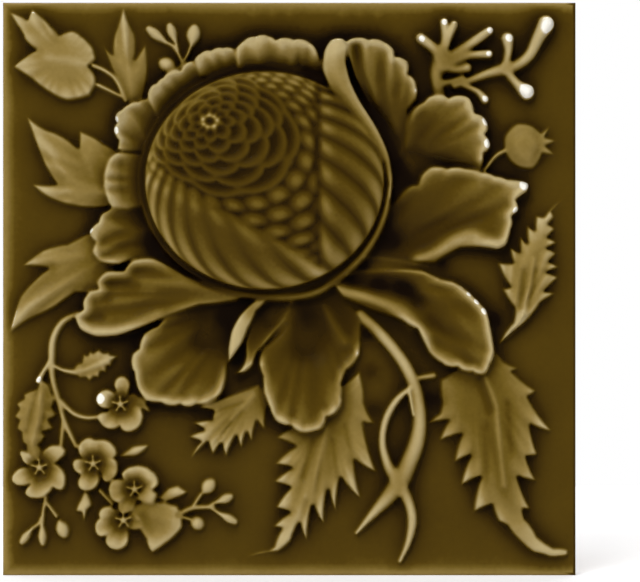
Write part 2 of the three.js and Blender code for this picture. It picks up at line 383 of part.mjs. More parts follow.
// The ruff of frilled petals that shows behind the flower head on the left and top
const ruff = () => [
  blade([[-37, 9], [-44, 8.4, 0.1], [-50, 11, 0.1], [-51, 16, 0.1], [-47.4, 22, 0.05], [-47.6, 33, 0.05],
    [-44.2, 38, 0.05], [-44.6, 45, 0.15], [-38, 49], [-34.6, 53.6], [-28.6, 57.6, 0.05], [-22, 61, 0.05],
    [-13, 63.4, 0.05], [-4, 65, 0.1], [6, 64], [9, 58], [-8, 50], [-30, 40], [-36, 20]], [-7, 28.5],
    [33, 0.4], [43, 3.4], { lip: 2 }),
  blade([[-40, 8], [-45, 6.1, 0.05], [-50.2, 7, 0.15], [-52.3, 9.8, 0.12], [-51.6, 12.4, 0.18],
    [-53.2, 15.2, 0.18], [-50.9, 17.9, 0.12], [-49.8, 20.3, 0.12], [-47.4, 21.2, 0.05], [-42, 20.9],
    [-37, 22], [-31, 10], [-34, 8]], [-7, 28.5], [33.5, 0.2], [46, 4.6], { cup: 0.9, lip: 2,
    folds: [[[[-49, 18], [-44, 16], [-38, 15.5]], 1.2, 0.35], [[[-50, 12], [-44, 11.5],
    [-39, 12]], 1, -0.3]] }),
  blade([[-45.6, 36.4, 0.1], [-47.7, 34.9, 0.12], [-49, 31.5, 0.12], [-49.3, 28, 0.12], [-48.6, 24.3, 0.1],
    [-47.3, 21.5], [-43, 20.9], [-37, 22], [-37, 36]], [-7, 28.5], [33, 1.4], [42.5, 4.4], { cup: 0.5,
    folds: [[[[-44.5, 34], [-44.6, 29], [-44, 24]], 0.8, -0.3]] }),
  blade([[-45.8, 36.6, 0.1], [-45.5, 39.3, 0.15], [-46.8, 42.4, 0.2], [-46, 44, 0.2], [-46.3, 46.2, 0.2],
    [-44.6, 47.8, 0.15], [-42.6, 49.3, 0.15], [-40.2, 50, 0.15], [-37.6, 50.8], [-33, 48], [-37, 36]],
    [-7, 28.5], [33, 1.3], [43, 4.6], { cup: 0.7, lip: 2, folds: [[[[-42, 46], [-40, 43],
    [-38.5, 40]], 0.9, 0.3], [[[-43.5, 41], [-41, 39.5]], 0.9, -0.3]] }),
  blade([[-37.9, 50.6, 0.15], [-37.4, 53.2, 0.22], [-35.4, 54.8, 0.22], [-33.6, 56.3, 0.22],
    [-31.5, 58, 0.22], [-29, 58.3, 0.15], [-28, 59.8, 0.22], [-25.4, 60.8], [-22, 56], [-30, 50],
    [-35, 45]], [-7, 28.5], [31.5, 1.2], [38.5, 4.8], { cup: 0.2 }),
  blade([[-25.6, 60.7, 0.15], [-23.7, 62.8, 0.25], [-20.8, 63.6, 0.25], [-17.6, 64.3, 0.2], [-14.3, 64],
    [-12, 58], [-18, 56], [-24, 56]], [-7, 28.5], [29.5, 1.1], [36.5, 4.8], { cup: 0.2 }),
  blade([[-14.5, 63.9, 0.1], [-12.2, 66.2, 0.2], [-9, 67.3, 0.2], [-5.4, 67.5, 0.12], [-3.4, 66.5, 0.22],
    [1.3, 66.5, 0.22], [5.6, 65.7, 0.15], [7.9, 63.2, 0.05], [9.3, 59], [12, 50], [0, 52], [-8, 55],
    [-14, 57]], [-2, 30], [25, 0.2], [35.5, 4.8], { cup: 0.5, lip: 2.4, crease: 5, folds: [[[[-8.5, 64],
    [-8, 60.5]], 1.2, 0.3], [[[-1.3, 64.5], [0, 60]], 1.2, 0.5], [[[2, 65], [2.6, 59.5]], 0.7, -0.4],
    [[[5, 63], [4.5, 58]], 1, -0.5]] }),
];

// The plume and the three great fans on the right
const sidePetals = () => [
  blade([[14.5, 65.5, 0.05], [15.6, 66.4, 0.22], [21.1, 66.5, 0.2], [25.3, 65.9, 0.15], [28.3, 63.2, 0.1],
    [28.4, 62, 0.18], [31.9, 60.3, 0.15], [32, 57.2, 0.22], [34.2, 54.2, 0.1], [34.2, 50.3, 0.05],
    [31.8, 47.5], [31, 38], [28, 30], [26, 38], [21, 48], [17, 56], [15, 62]], [27, 28], [12, 0.4],
    [36, 5.2], { cup: 1, lip: 2.4, crease: 7, folds: [[[[17.6, 64], [18, 58], [20, 52], [24, 45],
    [27.5, 38]], 1.6, -1.3], [[[20, 64.5], [20.3, 58], [23, 50]], 1, 0.5], [[[27, 60.5], [26.5, 53],
    [28, 44]], 1.1, 0.35], [[[31.5, 55.5], [29.5, 49], [29, 42]], 1.1, 0.4], [[[24.5, 62],
    [24.2, 56]], 1.4, -0.35], [[[29.5, 58], [28.3, 52]], 1.2, -0.3]] }),
  blade([[30.5, 37], [30.6, 44, 0.08], [32.3, 47.6, 0.12], [35.4, 49.8, 0.05], [37, 51.4, 0.22],
    [42.4, 51.1, 0.25], [48, 51, 0.12], [49.6, 46.9, 0.05], [51.2, 46.3, 0.25], [53.1, 42.2, 0.05],
    [52.4, 41, 0.25], [53.5, 37.3, 0.1], [52, 35.8, 0.08], [51.2, 31], [44, 29], [34, 30]], [24, 30],
    [10, 0.9], [31, 4.6], { cup: 1, lip: 2.6, crease: 6, folds: [[[[33, 47], [32.5, 42],
    [31, 38]], 1.3, 0.4], [[[30, 33], [38, 31.6], [51, 30.6]], 3.6, -2.4], [[[41, 50], [40, 45],
    [36, 38]], 1.4, 0.25], [[[48, 45], [43, 40], [36, 35]], 1.4, 0.2]] }),
  blade([[14.5, 3], [20, 9.5], [26.6, 22.3, 0.02], [29, 24.8, 0.1], [31.3, 27.2, 0.12], [33.9, 27.9, 0.02],
    [34.8, 30.3, 0.1], [37.4, 32.7, 0.12], [42, 32.4, 0.14], [46.8, 32.3, 0.06], [51, 31.4, 0.1],
    [54.9, 30.3, 0.08], [58, 29.4, 0.05], [61.2, 29, 0.12], [63.7, 28, 0.3], [62.6, 25.2, -0.03],
    [60.6, 23.5, 0.25], [60.9, 20.7, 0.05], [59.4, 19.2, 0.2], [59.2, 15.8, 0.05], [57.9, 11.6, 0.15],
    [55, 10.3, -0.06], [45.6, 10.7, -0.05], [39, 6.8, 0.05], [33, 7.2, 0.03], [25, 8], [20, 7]], [13, 3],
    [13, 0.3], [50, 4.4], { cup: 1.1, lip: 2.6, crease: 5, folds: [[[[34.5, 8.3], [39, 10], [43, 12.8],
    [47.5, 14.4], [51, 13.6], [55, 11.6]], 1.8, 1.4], [[[30, 18], [40, 24], [50, 27.5]], 2.2, 0.35],
    [[[28, 12], [38, 17], [50, 19], [57, 18]], 2, -0.35], [[[60, 27], [52, 25], [42, 21],
    [32, 15]], 1.6, 0.25]] }),
  blade([[11, 1.6], [15.5, 3.4, 0.02], [22, 4.4, 0.02], [29, 5.5, 0.06], [36, 5, -0.03],
    [39.5, 3.3, -0.03], [43.5, 2.3, 0.08], [48.3, -1, 0.02], [52.2, -5, 0.12], [53.7, -9.5, 0.02],
    [54.8, -16, 0.12], [53.6, -20, 0.1], [52.3, -22.6, 0.25], [48.5, -22.2, 0.2], [44.6, -21.1, 0.2],
    [40.2, -20, 0.1], [36.6, -16.8, -0.02], [33.7, -10.8, 0.08], [30, -8.7, -0.03], [22, -6.1, -0.02],
    [14, -2.4]], [12, 1], [9, 0.5], [45, 4.6], { cup: 1.2, lip: 2.4, crease: 4, folds: [[[[13, -0.3],
    [20, -2.2], [28, -4.6], [32, -8], [35, -13]], 2.8, 2.4], [[[17, 2], [24, 1.8], [31, 0.2],
    [34, -3]], 2, -1.2], [[[36, 0], [44, -6], [50, -14]], 1.8, 0.35], [[[38, -8], [45, -15],
    [48, -20]], 1.8, -0.3]] }),
];

// The petals below: a tongue and a fan to the left, a curl, a ribbon and an apron in the middle
const lowPetals = () => [
  blade([[-10, -1.5], [-20, 0.6, 0.02], [-27.5, 4, 0.03], [-32, 6.6, 0.06], [-36.2, 8.5, 0.08],
    [-41.3, 8.1, 0.15], [-44, 5.2, 0.05], [-48.2, 5, 0.15], [-51.2, 2, 0.12], [-50.9, 0.2],
    [-53, -0.3, 0.15], [-54.9, -3, 0.15], [-54.9, -5.2, 0.05], [-57, -7, 0.18], [-55.5, -11, 0.12],
    [-51, -12.9, 0.05], [-45, -12.5, 0.02], [-39, -10.5, 0.02], [-33, -8], [-24, -5], [-14, -3.4]],
    [-8, -1], [8, 2.2], [42, 4.4], { cup: 1.5, lip: 3, folds: [[[[-15, -1.2], [-24, 0.4], [-30, 1.5],
    [-38, 1]], 1.8, 0.7], [[[-30, 5.2], [-37, 5.8], [-41, 5.2]], 1.7, -0.6], [[[-36, -1.5], [-44, -3.5],
    [-50, -3.5]], 1.5, 0.3], [[[-43, 2.4], [-48, 2]], 1.4, -0.7], [[[-48, -2.8], [-53, -3]], 1.4, -0.6],
    [[[-50, -7.5], [-54.5, -8]], 1.3, -0.7], [[[-35, -6.5], [-43, -9.5], [-50, -10.8]], 1.5, 0.5]] }),
  blade([[-9, -3], [-24, -4], [-33, -7], [-35.2, -9.6, 0.1], [-38.8, -11.6, 0.1], [-40.1, -15.6, 0.02],
    [-41.7, -16.9, 0.25], [-41.4, -22.3, 0.06], [-40.6, -26.5, 0.1], [-38, -30, 0.05], [-34, -30.5, 0.22],
    [-29, -31, 0.25], [-24.6, -31, 0.15], [-20.5, -30.2, 0.12], [-17.2, -27.2, 0.08], [-16.2, -22, 0.02],
    [-15.8, -16], [-14.5, -10]], [-12, -3.5], [9, 0.1], [29, 4.2], { cup: 1.1, lip: 2.6, crease: 4,
    folds: [[[[-15, -6], [-20, -9.5], [-23, -14]], 3.2, -1.2], [[[-22, -17], [-29, -21],
    [-36, -24]], 1.8, 0.25], [[[-24, -10], [-31, -14], [-37, -18]], 1.8, 0.3], [[[-18, -17], [-21, -23],
    [-22, -28]], 1.5, 0.2]] }),
  blade([[-7.5, -3.2], [-0.8, -3.4], [-1.2, -8, 0.02], [-4.6, -13, 0.02], [-8.2, -17], [-9.3, -20.3, 0.1],
    [-11.6, -22.3, 0.12], [-14.6, -22.4, -0.15], [-12.7, -20.6, -0.12], [-11.8, -17.5], [-11.9, -14],
    [-10.4, -9.5], [-8.8, -6]], [-4, -4], [2, 0.3], [18, 3.4], { cup: 0.5, lip: 1.6, edge: 0.9,
    folds: [[[[-3.8, -5.5], [-5, -9]], 2.2, -0.8], [[[-10, -19.5], [-12.5, -21.4],
    [-14, -21.9]], 0.7, 0.5]] }),
  blade([[-5.2, -2.6, 0.02], [-8.4, -6, 0.04], [-10.5, -10.4, 0.03], [-12, -14.3, 0.03], [-14.8, -18.3],
    [-16.2, -19.8, 0.02], [-16.4, -16, 0.04], [-15.6, -11.2, 0.06], [-13.4, -7, 0.05], [-10.4, -3.8, 0.03],
    [-8.5, -2.4]], [-6, -3], [2, 3], [18, 4.8], { cup: -0.35, lip: 1.8, edge: 0.8 }),
  blade([[1.7, -3], [0.6, -7.5, 0.06], [-2.3, -11.5, -0.02], [-6.6, -15.2, 0.12], [-8.4, -19.2, 0.1],
    [-7.3, -23.2, 0.02], [-7.1, -27.5, 0.02], [-5.5, -31.6, 0.08], [-3.9, -35.2, 0.15], [0.2, -36.6, 0.12],
    [3.6, -38.4, 0.12], [8.9, -37.2, 0.12], [10.2, -34.2, 0.15], [13.3, -32.3, 0.22], [14.3, -28.6, 0.1],
    [14.2, -25.2, -0.02], [15.6, -21.6, 0.12], [18.4, -18.7, 0.14], [19.2, -13.3, 0.05], [19.3, -9.3, 0.1],
    [17.2, -5, 0.02], [13, -2.2], [6, -2.4]], [6, -2], [4, 0.1], [34, 4.4], { cup: 1, lip: 2.6, crease: 5,
    folds: [[[[5.5, -4], [5.2, -10], [4.4, -16]], 3.6, -1.2], [[[9, -4.5], [11.5, -9],
    [14.5, -14]], 1.5, 0.9], [[[1.8, -9], [-2, -15], [-4.5, -20]], 1.5, 0.25], [[[12, -14], [11, -22],
    [11.5, -29]], 1.6, 0.2], [[[0, -20], [2, -28], [3, -34]], 1.8, 0.15]] }),
];

// The strap that lies along the upper right side of the flower head, and the narrow calyx round its foot
const strap = () => [
  blade([[8.7, 62.2, 0.08], [8.6, 57.5, 0.04], [10.4, 53, 0.03], [14.4, 48.6, 0.03], [19, 43.6, 0.03],
    [22.6, 38.4, 0.03], [25, 33, 0.02], [26, 28], [26.1, 23.6, 0.3], [27.3, 24.2, 0.04],
    [27.9, 29.5, 0.04], [26.9, 35.5, 0.04], [24.8, 40.4, 0.03], [21.9, 45.6], [19.2, 50, -0.02],
    [16.9, 54.8, -0.03], [15.6, 60, -0.02], [15.8, 64, 0.12], [14.8, 66.4, 0.25], [10.9, 66.2, 0.15]],
    [27, 24], [2, 4.6], [40, 6.4], { cup: -0.7, lip: 2.6, edge: 0.9 }),
];
const calyx = () => [
  twig([[-23, 1.6, 0.8, 2.6], [-13.5, -1.2, 1.2, 3], [-3.5, -2.2, 1.3, 3.2], [5.6, -1.3, 1.3, 3.2],
    [11.6, 1.8, 1.3, 3.4], [18.4, 7.6, 1.3, 3.6], [23, 14, 1.3, 3.8], [25.6, 20.6, 1.2, 4],
    [26.6, 26.5, 0.8, 4.2]]),
];

// The flower head is a dome over an oval.  Its pattern is laid out as on a globe whose pole looks up and
// left: a rosette of overlapping scalloped rows round the pole, then beads inside a V and fingers outside it.
const HEAD = { x: -6.5, z: 28.8, halfWide: 32, halfHigh: 29.2, foot: 3.6 };
const POLE = new THREE.Vector3(-0.45, 0.53, 0.72).normalize();
const POLE_EAST = new THREE.Vector3(0.53, 0.45, 0).normalize();
const POLE_NORTH = new THREE.Vector3().crossVectors(POLE, POLE_EAST);
const ROSETTE = { angle: 41, stretch: 0.2, lean: -80, rows: 7, scallops: 9, swell: 0.3, depth: 1 };
const STAMENS = { count: 7, turn: 4.6, size: 1.5, height: 1 };       // degrees on the globe, height in mm
const MERIDIANS = 26;
const BEAD = { pitch: 8.2, depth: 1.1, lean: 0.12 };
const FINGER = { depth: 0.9, atRim: 0.7, knuckle: 0.35 };
const V_RIGHT = 7.8;                         // the V's right side is upright
const V_LEFT = { x: -33, z: 29, rise: -22 / 41 };     // and its left side slopes down to it
const V_GROOVE = { width: 0.9, depth: 0.5 };
const ROW_STAGGER = 0.62;

// The rosette is longer along its lean: the angle from the pole as it would be if it were round
const roundAngle = (angle, turn) => angle / rosetteStretch(turn);
const rosetteStretch = (turn) => 1 + ROSETTE.stretch * Math.cos(2 * (turn - ROSETTE.lean) * DEG);

const onGlobe = (x, z) => {
  const [u, v] = [(x - HEAD.x) / HEAD.halfWide, (z - HEAD.z) / HEAD.halfHigh];
  const rim = u * u + v * v;
  if (rim >= 1) return null;
  const towards = new THREE.Vector3(u, v, Math.sqrt(1 - rim));
  const angle = Math.acos(clamp01(towards.dot(POLE) * 0.5 + 0.5) * 2 - 1) / DEG;
  const turn = Math.atan2(towards.dot(POLE_NORTH), towards.dot(POLE_EAST)) / DEG;
  return { rim: Math.sqrt(rim), dome: towards.z, angle, turn };
};
const offGlobe = (angle, turn) => {
  const [s, c] = [Math.sin(angle * DEG), Math.cos(angle * DEG)];
  const place = POLE.clone().multiplyScalar(c)
    .addScaledVector(POLE_EAST, s * Math.cos(turn * DEG))
    .addScaledVector(POLE_NORTH, s * Math.sin(turn * DEG));
  return place.z > 0.06 ? [HEAD.x + HEAD.halfWide * place.x, HEAD.z + HEAD.halfHigh * place.y] : null;
};

// The row's edge bows out between notches, and each row is staggered against the next.
const rowEdge = (row, turn) => {
  const lobe = Math.abs(Math.sin((turn / 360) * Math.PI * ROSETTE.scallops + row * ROW_STAGGER * Math.PI));
  return (ROSETTE.angle / ROSETTE.rows) * (row + 1 - ROSETTE.swell + 2 * ROSETTE.swell * Math.sqrt(lobe));
};
function rosetteHeight(angle, turn) {
  const pitch = ROSETTE.angle / ROSETTE.rows;
  let height = -ROSETTE.depth;
  for (let row = ROSETTE.rows - 1; row >= 0; row -= 1) {
    const inward = (rowEdge(row, turn) - angle) / pitch;
    const over = smooth(inward / 0.16);
    height = mix(height, -ROSETTE.depth * smooth((inward - 0.2) / 1.05), over);
  }
  for (let k = 0; k < STAMENS.count; k += 1) {
    const around = (k / STAMENS.count) * 2 * Math.PI;
    const [u, v] = [angle * Math.cos(turn * DEG), angle * Math.sin(turn * DEG)];
    const near = Math.hypot(u - STAMENS.turn * Math.cos(around), v - STAMENS.turn * Math.sin(around));
    height += STAMENS.height * Math.exp(-((near / STAMENS.size) ** 2));
  }
  return height;
}
// How far a place is inside the V's nearer side, less than 0 outside it
const withinV = (x, z) => {
  const aboveLeft = z - V_LEFT.z - V_LEFT.rise * (x - V_LEFT.x);
  return Math.min(V_RIGHT - x, aboveLeft / Math.hypot(1, V_LEFT.rise));
};
function beadHeight(angle, turn) {
  const row = (angle - ROSETTE.angle) / BEAD.pitch;
  const along = row - Math.floor(row) - 0.5 - BEAD.lean;
  const column = (turn / 360) * MERIDIANS + (Math.floor(row) % 2) * 0.5;
  const across = column - Math.floor(column) - 0.5;
  return -BEAD.depth * clamp01(4 * across * across * 0.75 + 4 * along * along * 0.6);
}

// A finger is round across, with a crease on each side that is deepest at the rim, and a knuckle at the V.
const KNUCKLE_PLACE = 2.4;
const KNUCKLE_REACH = 1.6;
const fingerHeight = (turn, rim, outside) => {
  const column = (turn / 360) * MERIDIANS;
  const across = 2 * Math.abs(column - Math.floor(column) - 0.5);
  const crease = (FINGER.depth + FINGER.atRim * rim ** 6) * across ** 2.2;
  const knuckle = Math.exp(-(((outside - KNUCKLE_PLACE) / KNUCKLE_REACH) ** 2));
  return FINGER.knuckle * (1 - across) * knuckle - crease;
};
const V_BLEND = 1.2;
const HEAD_EDGE = 0.985;
const PATTERN_FADE = 0.03;
const HEAD_SURVEY = [0.982, 1.006, 0.94];     // shares of the way out to the rim and past it
const flowerHead = {
  box: [HEAD.x - HEAD.halfWide, HEAD.x + HEAD.halfWide, HEAD.z - HEAD.halfHigh, HEAD.z + HEAD.halfHigh],
  cover(x, z) {
    const place = onGlobe(x, z);
    if (!place) return null;
    const height = mix(HEAD.foot, ART_CROWN, place.dome ** 0.9);
    const angle = roundAngle(place.angle, place.turn);
    let pattern = rosetteHeight(angle, place.turn);
    if (angle > ROSETTE.angle - 6) {
      const within = withinV(x, z);
      const finger = fingerHeight(place.turn, place.rim, -within);
      const groove = V_GROOVE.depth * Math.exp(-((within / V_GROOVE.width) ** 2));
      const outer = mix(finger, beadHeight(angle, place.turn), smooth(0.5 + within / (2 * V_BLEND))) - groove;
      const inward = (rowEdge(ROSETTE.rows - 1, place.turn) - angle) / (ROSETTE.angle / ROSETTE.rows);
      pattern = mix(outer, pattern, smooth(inward / 0.16));
    }
    const edge = clamp01((1 - place.rim) / (1 - HEAD_EDGE));
    return { mask: 1 - (1 - edge) ** 2, height: height + pattern * smooth((1 - place.rim) / PATTERN_FADE) };
  },
};

// Everything on the field, from the lowest to the topmost
const layers = [
  ...cornerLeaves(), ...bellFlower(), ...budSprig(), ...leftSpray(), ...leftBlossoms(), ...lowerSprigs(),
  ...toothedLeaves(), ...mainStem(), ...clubSprig(), ...fruit(), ...ruff(), ...sidePetals(), ...lowPetals(),
  ...calyx(), flowerHead, ...strap(),
];

// Height above the field: each layer lies over what is under it, as far as its mask covers.
function reliefHeight(x, z) {
  return layers.reduce((height, layer) => {
    const found = layer.cover(x, z);
    return found ? mix(height, found.height, found.mask) : height;
  }, 0);
}
const isCovered = (x, z, above, share = 0.5) => layers.slice(above + 1).some(
  (layer) => (layer.cover(x, z)?.mask ?? 0) > share);

// The places where the relief is surveyed, topmost layers first, none closer to another than NEAREST
function surveyPlaces() {
  const places = [];
  const cells = new Map();
  const half = ART_SIDE / 2;
  const add = (x, z, gap = NEAREST) => {
    if (Math.abs(x) > half - NEAREST || Math.abs(z) > half - NEAREST) return;
    const [cx, cz] = [Math.floor(x / NEAREST), Math.floor(z / NEAREST)];
    const reach = Math.ceil(gap / NEAREST);
    for (let i = -reach; i <= reach; i += 1) {
      for (let j = -reach; j <= reach; j += 1) {
        const near = cells.get(`${cx + i},${cz + j}`) ?? [];
        if (near.some(([px, pz]) => Math.hypot(px - x, pz - z) < gap)) return;
      }
    }
    const key = `${cx},${cz}`;
    cells.set(key, [...(cells.get(key) ?? []), [x, z]]);
    places.push([x, z]);
  };

  // Evenly spaced places along an open line, each with the direction to its right and the half width there
  const along = (points, step) => {
    const lengths = points.slice(1).map(([x, z], i) => Math.hypot(x - points[i][0], z - points[i][1]));
    const total = lengths.reduce((sum, length) => sum + length, 0);
    const pieces = Math.max(2, Math.round(total / step));
    return Array.from({ length: pieces + 1 }, (_, k) => {
      let left = (k / pieces) * total;
      let i = 0;
      for (; i < lengths.length - 1 && left > lengths[i]; i += 1) left -= lengths[i];
      const [a, b] = [points[i], points[i + 1]];
      const t = Math.min(1, left / lengths[i]);
      const [nx, nz] = [(b[1] - a[1]) / lengths[i], (a[0] - b[0]) / lengths[i]];
      return { x: mix(a[0], b[0], t), z: mix(a[1], b[1], t), nx, nz, half: mix(a[2] ?? 0, b[2] ?? 0, t) };
    });
  };

  // A blade: its foot just outside the outline, its rim inside it, and its folds
  const surveyBlade = (layer, index) => {
    const area = layer.edges.reduce((sum, [x, z], i) => {
      const [x2, z2] = layer.edges[(i + 1) % layer.edges.length];
      return sum + x * z2 - x2 * z;
    }, 0);
    const outward = area > 0 ? 1 : -1;
    layer.edges.forEach(([x, z], i) => {
      const count = layer.edges.length;
      const [px, pz] = layer.edges[(i + count - 1) % count];
      const [qx, qz] = layer.edges[(i + 1) % count];
      const before = new THREE.Vector2(z - pz, px - x).normalize();
      const after = new THREE.Vector2(qz - z, x - qx).normalize();
      const out = before.clone().add(after).normalize().multiplyScalar(outward);
      const mitre = 1 / Math.max(SHARPEST, Math.abs(out.dot(after)));
      const [inX, inZ] = [x - out.x * layer.edge * mitre, z - out.y * layer.edge * mitre];
      if ((layer.cover(inX, inZ)?.mask ?? 0) > 0.8 && !isCovered(inX, inZ, index)) add(inX, inZ);
      const [outX, outZ] = [x + out.x * ART_EDGE, z + out.y * ART_EDGE];
      if (!isCovered(outX, outZ, index - 1)) add(outX, outZ);
    });
    for (const fold of layer.folds) {
      for (const { x, z } of along(fold.points, OUTLINE_STEP * 1.4)) {
        if (layer.cover(x, z) && !isCovered(x, z, index)) add(x, z, FOLD_GAP);
      }
    }
  };
  const surveyTwig = (layer, index) => {
    const spaced = along(layer.twig, OUTLINE_STEP);
    const putFoot = (x, z) => {
      if (!isCovered(x, z, index - 1, BARE)) add(x, z, TWIG_GAP);
    };
    spaced.forEach(({ x, z, nx, nz, half: width }, i) => {
      if (!isCovered(x, z, index)) add(x, z, TWIG_GAP);
      const foot = width * FOOT_SPREAD + ART_EDGE;
      for (const side of [1, -1]) {
        const [shoulderX, shoulderZ] = [x + side * nx * width * SHOULDER, z + side * nz * width * SHOULDER];
        if (width > STOUT && !isCovered(shoulderX, shoulderZ, index)) add(shoulderX, shoulderZ, TWIG_GAP);
        putFoot(x + side * nx * foot, z + side * nz * foot);
      }
      if (i > 0 && i < spaced.length - 1) return;
      const heading = Math.atan2(nx, -nz) + (i === 0 ? Math.PI : 0);
      for (const angle of [-50 * DEG, 0, 50 * DEG]) {
        putFoot(x + foot * Math.cos(heading + angle), z + foot * Math.sin(heading + angle));
      }
    });
  };
  const surveyHead = (index) => {
    const put = (angle, turn, gap) => {
      const place = offGlobe(angle, turn);
      if (place && !isCovered(...place, index)) add(...place, gap);
    };
    const pitch = ROSETTE.angle / ROSETTE.rows;
    const perTurn = ROSETTE.scallops * 4;
    const putRound = (angle, turn, gap) => put(angle * rosetteStretch(turn), turn, gap);
    for (let step = 0; step < 72; step += 1) {
      const turn = step * 5 * DEG;
      for (const share of HEAD_SURVEY) {
        const x = HEAD.x + HEAD.halfWide * share * Math.cos(turn);
        const z = HEAD.z + HEAD.halfHigh * share * Math.sin(turn);
        if (!isCovered(x, z, share > 1 ? index - 1 : index)) add(x, z, TWIG_GAP);
      }
    }
    for (let row = ROSETTE.rows - 1; row >= 0; row -= 1) {
      for (let k = 0; k < perTurn; k += 1) {
        const turn = (k / perTurn - (row * ROW_STAGGER) / ROSETTE.scallops) * 360;
        putRound(rowEdge(row, turn) + 0.04 * pitch, turn, HEAD_GAP * 0.8);
        putRound(rowEdge(row, turn) - 0.24 * pitch, turn, HEAD_GAP * 0.8);
      }
    }
    for (let angle = ROSETTE.angle; angle < 125; angle += BEAD.pitch) {
      const row = Math.floor((angle - ROSETTE.angle) / BEAD.pitch + 0.5);
      for (let k = 0; k < MERIDIANS; k += 1) {
        const shift = (row % 2) * 0.5;
        const middle = angle + BEAD.pitch / 2;
        const middleTurn = ((k + 0.5 - shift) / MERIDIANS) * 360;
        const sideTurn = ((k - shift) / MERIDIANS) * 360;
        const crest = offGlobe(middle * rosetteStretch(middleTurn), middleTurn);
        if (crest && withinV(...crest) > 0) {
          putRound(middle + BEAD.lean * BEAD.pitch, middleTurn, HEAD_GAP);
          putRound(middle, sideTurn, HEAD_GAP);
          putRound(angle, middleTurn, HEAD_GAP);
          putRound(angle, sideTurn, HEAD_GAP);
        } else {
          put(middle, ((k + 0.5) / MERIDIANS) * 360, HEAD_GAP);
          put(middle, (k / MERIDIANS) * 360, HEAD_GAP);
        }
      }
    }
  };
  for (let index = layers.length - 1; index >= 0; index -= 1) {
    const layer = layers[index];
    if (layer === flowerHead) surveyHead(index);
    else if (layer.twig) surveyTwig(layer, index);
    else surveyBlade(layer, index);
  }

  // A triangular lattice over all, a little uneven so that no four of its points share a circle
  const rowStep = LATTICE_STEP * Math.sqrt(0.75);
  const onBlade = LATTICE_STEP * 0.55;
  for (let [row, z] = [0, -half]; z < half; [row, z] = [row + 1, z + rowStep]) {
    for (let x = -half + (row % 2) * LATTICE_STEP * 0.5; x < half; x += LATTICE_STEP) {
      const uneven = 0.3 * Math.sin(12.9 * x + 78.2 * z);
      add(x + uneven, z + 0.3 * Math.cos(39.3 * x - 11.1 * z), onBlade);
    }
  }
  return places;
}

// Triangulates places inside a square by adding them one at a time: the triangles whose circle holds the
// new place make way for a fan round it.  A place that lies on a circle, but for rounding, is outside it.
const ON_CIRCLE = 1 - 1e-10;
function triangulate(places, border) {
  const points = [...border, ...places];
  const corners = [0, border.length / 4, border.length / 2, (3 * border.length) / 4];
  const circle = (a, b, c) => {
    const [[ax, az], [bx, bz], [cx, cz]] = [points[a], points[b], points[c]];
    const d = 2 * ((bx - ax) * (cz - az) - (bz - az) * (cx - ax));
    const [p, q] = [(bx - ax) ** 2 + (bz - az) ** 2, (cx - ax) ** 2 + (cz - az) ** 2];
    const [ux, uz] = [((cz - az) * p - (bz - az) * q) / d, ((bx - ax) * q - (cx - ax) * p) / d];
    return { a, b, c, x: ax + ux, z: az + uz, reach: ux * ux + uz * uz };
  };
  let triangles = [circle(corners[0], corners[1], corners[2]), circle(corners[0], corners[2], corners[3])];
  points.forEach(([x, z], index) => {
    if (corners.includes(index)) return;
    const open = new Map();
    triangles = triangles.filter((t) => {
      if ((x - t.x) ** 2 + (z - t.z) ** 2 >= t.reach * ON_CIRCLE) return true;
      for (const [from, to] of [[t.a, t.b], [t.b, t.c], [t.c, t.a]]) {
        if (open.has(`${to},${from}`)) open.delete(`${to},${from}`);
        else open.set(`${from},${to}`, [from, to]);
      }
      return false;
    });
    for (const [from, to] of open.values()) {
      const [[ax, az], [bx, bz]] = [points[from], points[to]];
      const turn = (bx - ax) * (z - az) - (bz - az) * (x - ax);
      if (turn > 1e-9) triangles.push(circle(from, to, index));
    }
  });
  return { points, triangles: triangles.map(({ a, b, c }) => [a, b, c]) };
}

// The tile as one closed body: the surveyed face, a rounded arris round it, four sides and the back
function tileSolid() {
  const half = ART_SIDE / 2;
  const perSide = 20;
  const border = [];
  for (let side = 0; side < 4; side += 1) {
    for (let k = 0; k < perSide; k += 1) {
      const t = -half + (ART_SIDE * k) / perSide;
      border.push([[t, -half], [half, t], [-t, half], [-half, -t]][side]);
    }
  }
  const { points, triangles } = triangulate(surveyPlaces(), border);
  const scale = TILE_SIDE / ART_SIDE;
  const faceScale = (TILE_SIDE - 2 * ARRIS) / ART_SIDE;
  const rise = CROWN_HEIGHT / ART_CROWN;
  const positions = points.map(([x, z]) => [
    x * faceScale, -(BODY_THICKNESS + rise * reliefHeight(x, z)), z * faceScale]);
  const faces = triangles.map(([a, b, c]) => [a, b, c]);
  const ring = (height, share) => border.map(([x, z]) => {
    positions.push([x * share, -height, z * share]);
    return positions.length - 1;
  });
  const arrisMiddle = ARRIS * (1 - Math.SQRT1_2);
  const rings = [
    border.map((_, i) => i),
    ring(BODY_THICKNESS - arrisMiddle, (TILE_SIDE - 2 * arrisMiddle) / ART_SIDE),
    ring(BODY_THICKNESS - ARRIS, scale),
    ring(0, scale),
  ];
  for (let r = 0; r < rings.length - 1; r += 1) {
    border.forEach((_, i) => {
      const j = (i + 1) % border.length;
      const [upper, lower] = [rings[r], rings[r + 1]];
      faces.push([upper[i], lower[i], lower[j]], [upper[i], lower[j], upper[j]]);
    });
  }
  positions.push([0, 0, 0]);
  const back = rings[rings.length - 1];
  back.forEach((_, i) => faces.push([positions.length - 1, back[(i + 1) % back.length], back[i]]));
  return { positions, faces };
}

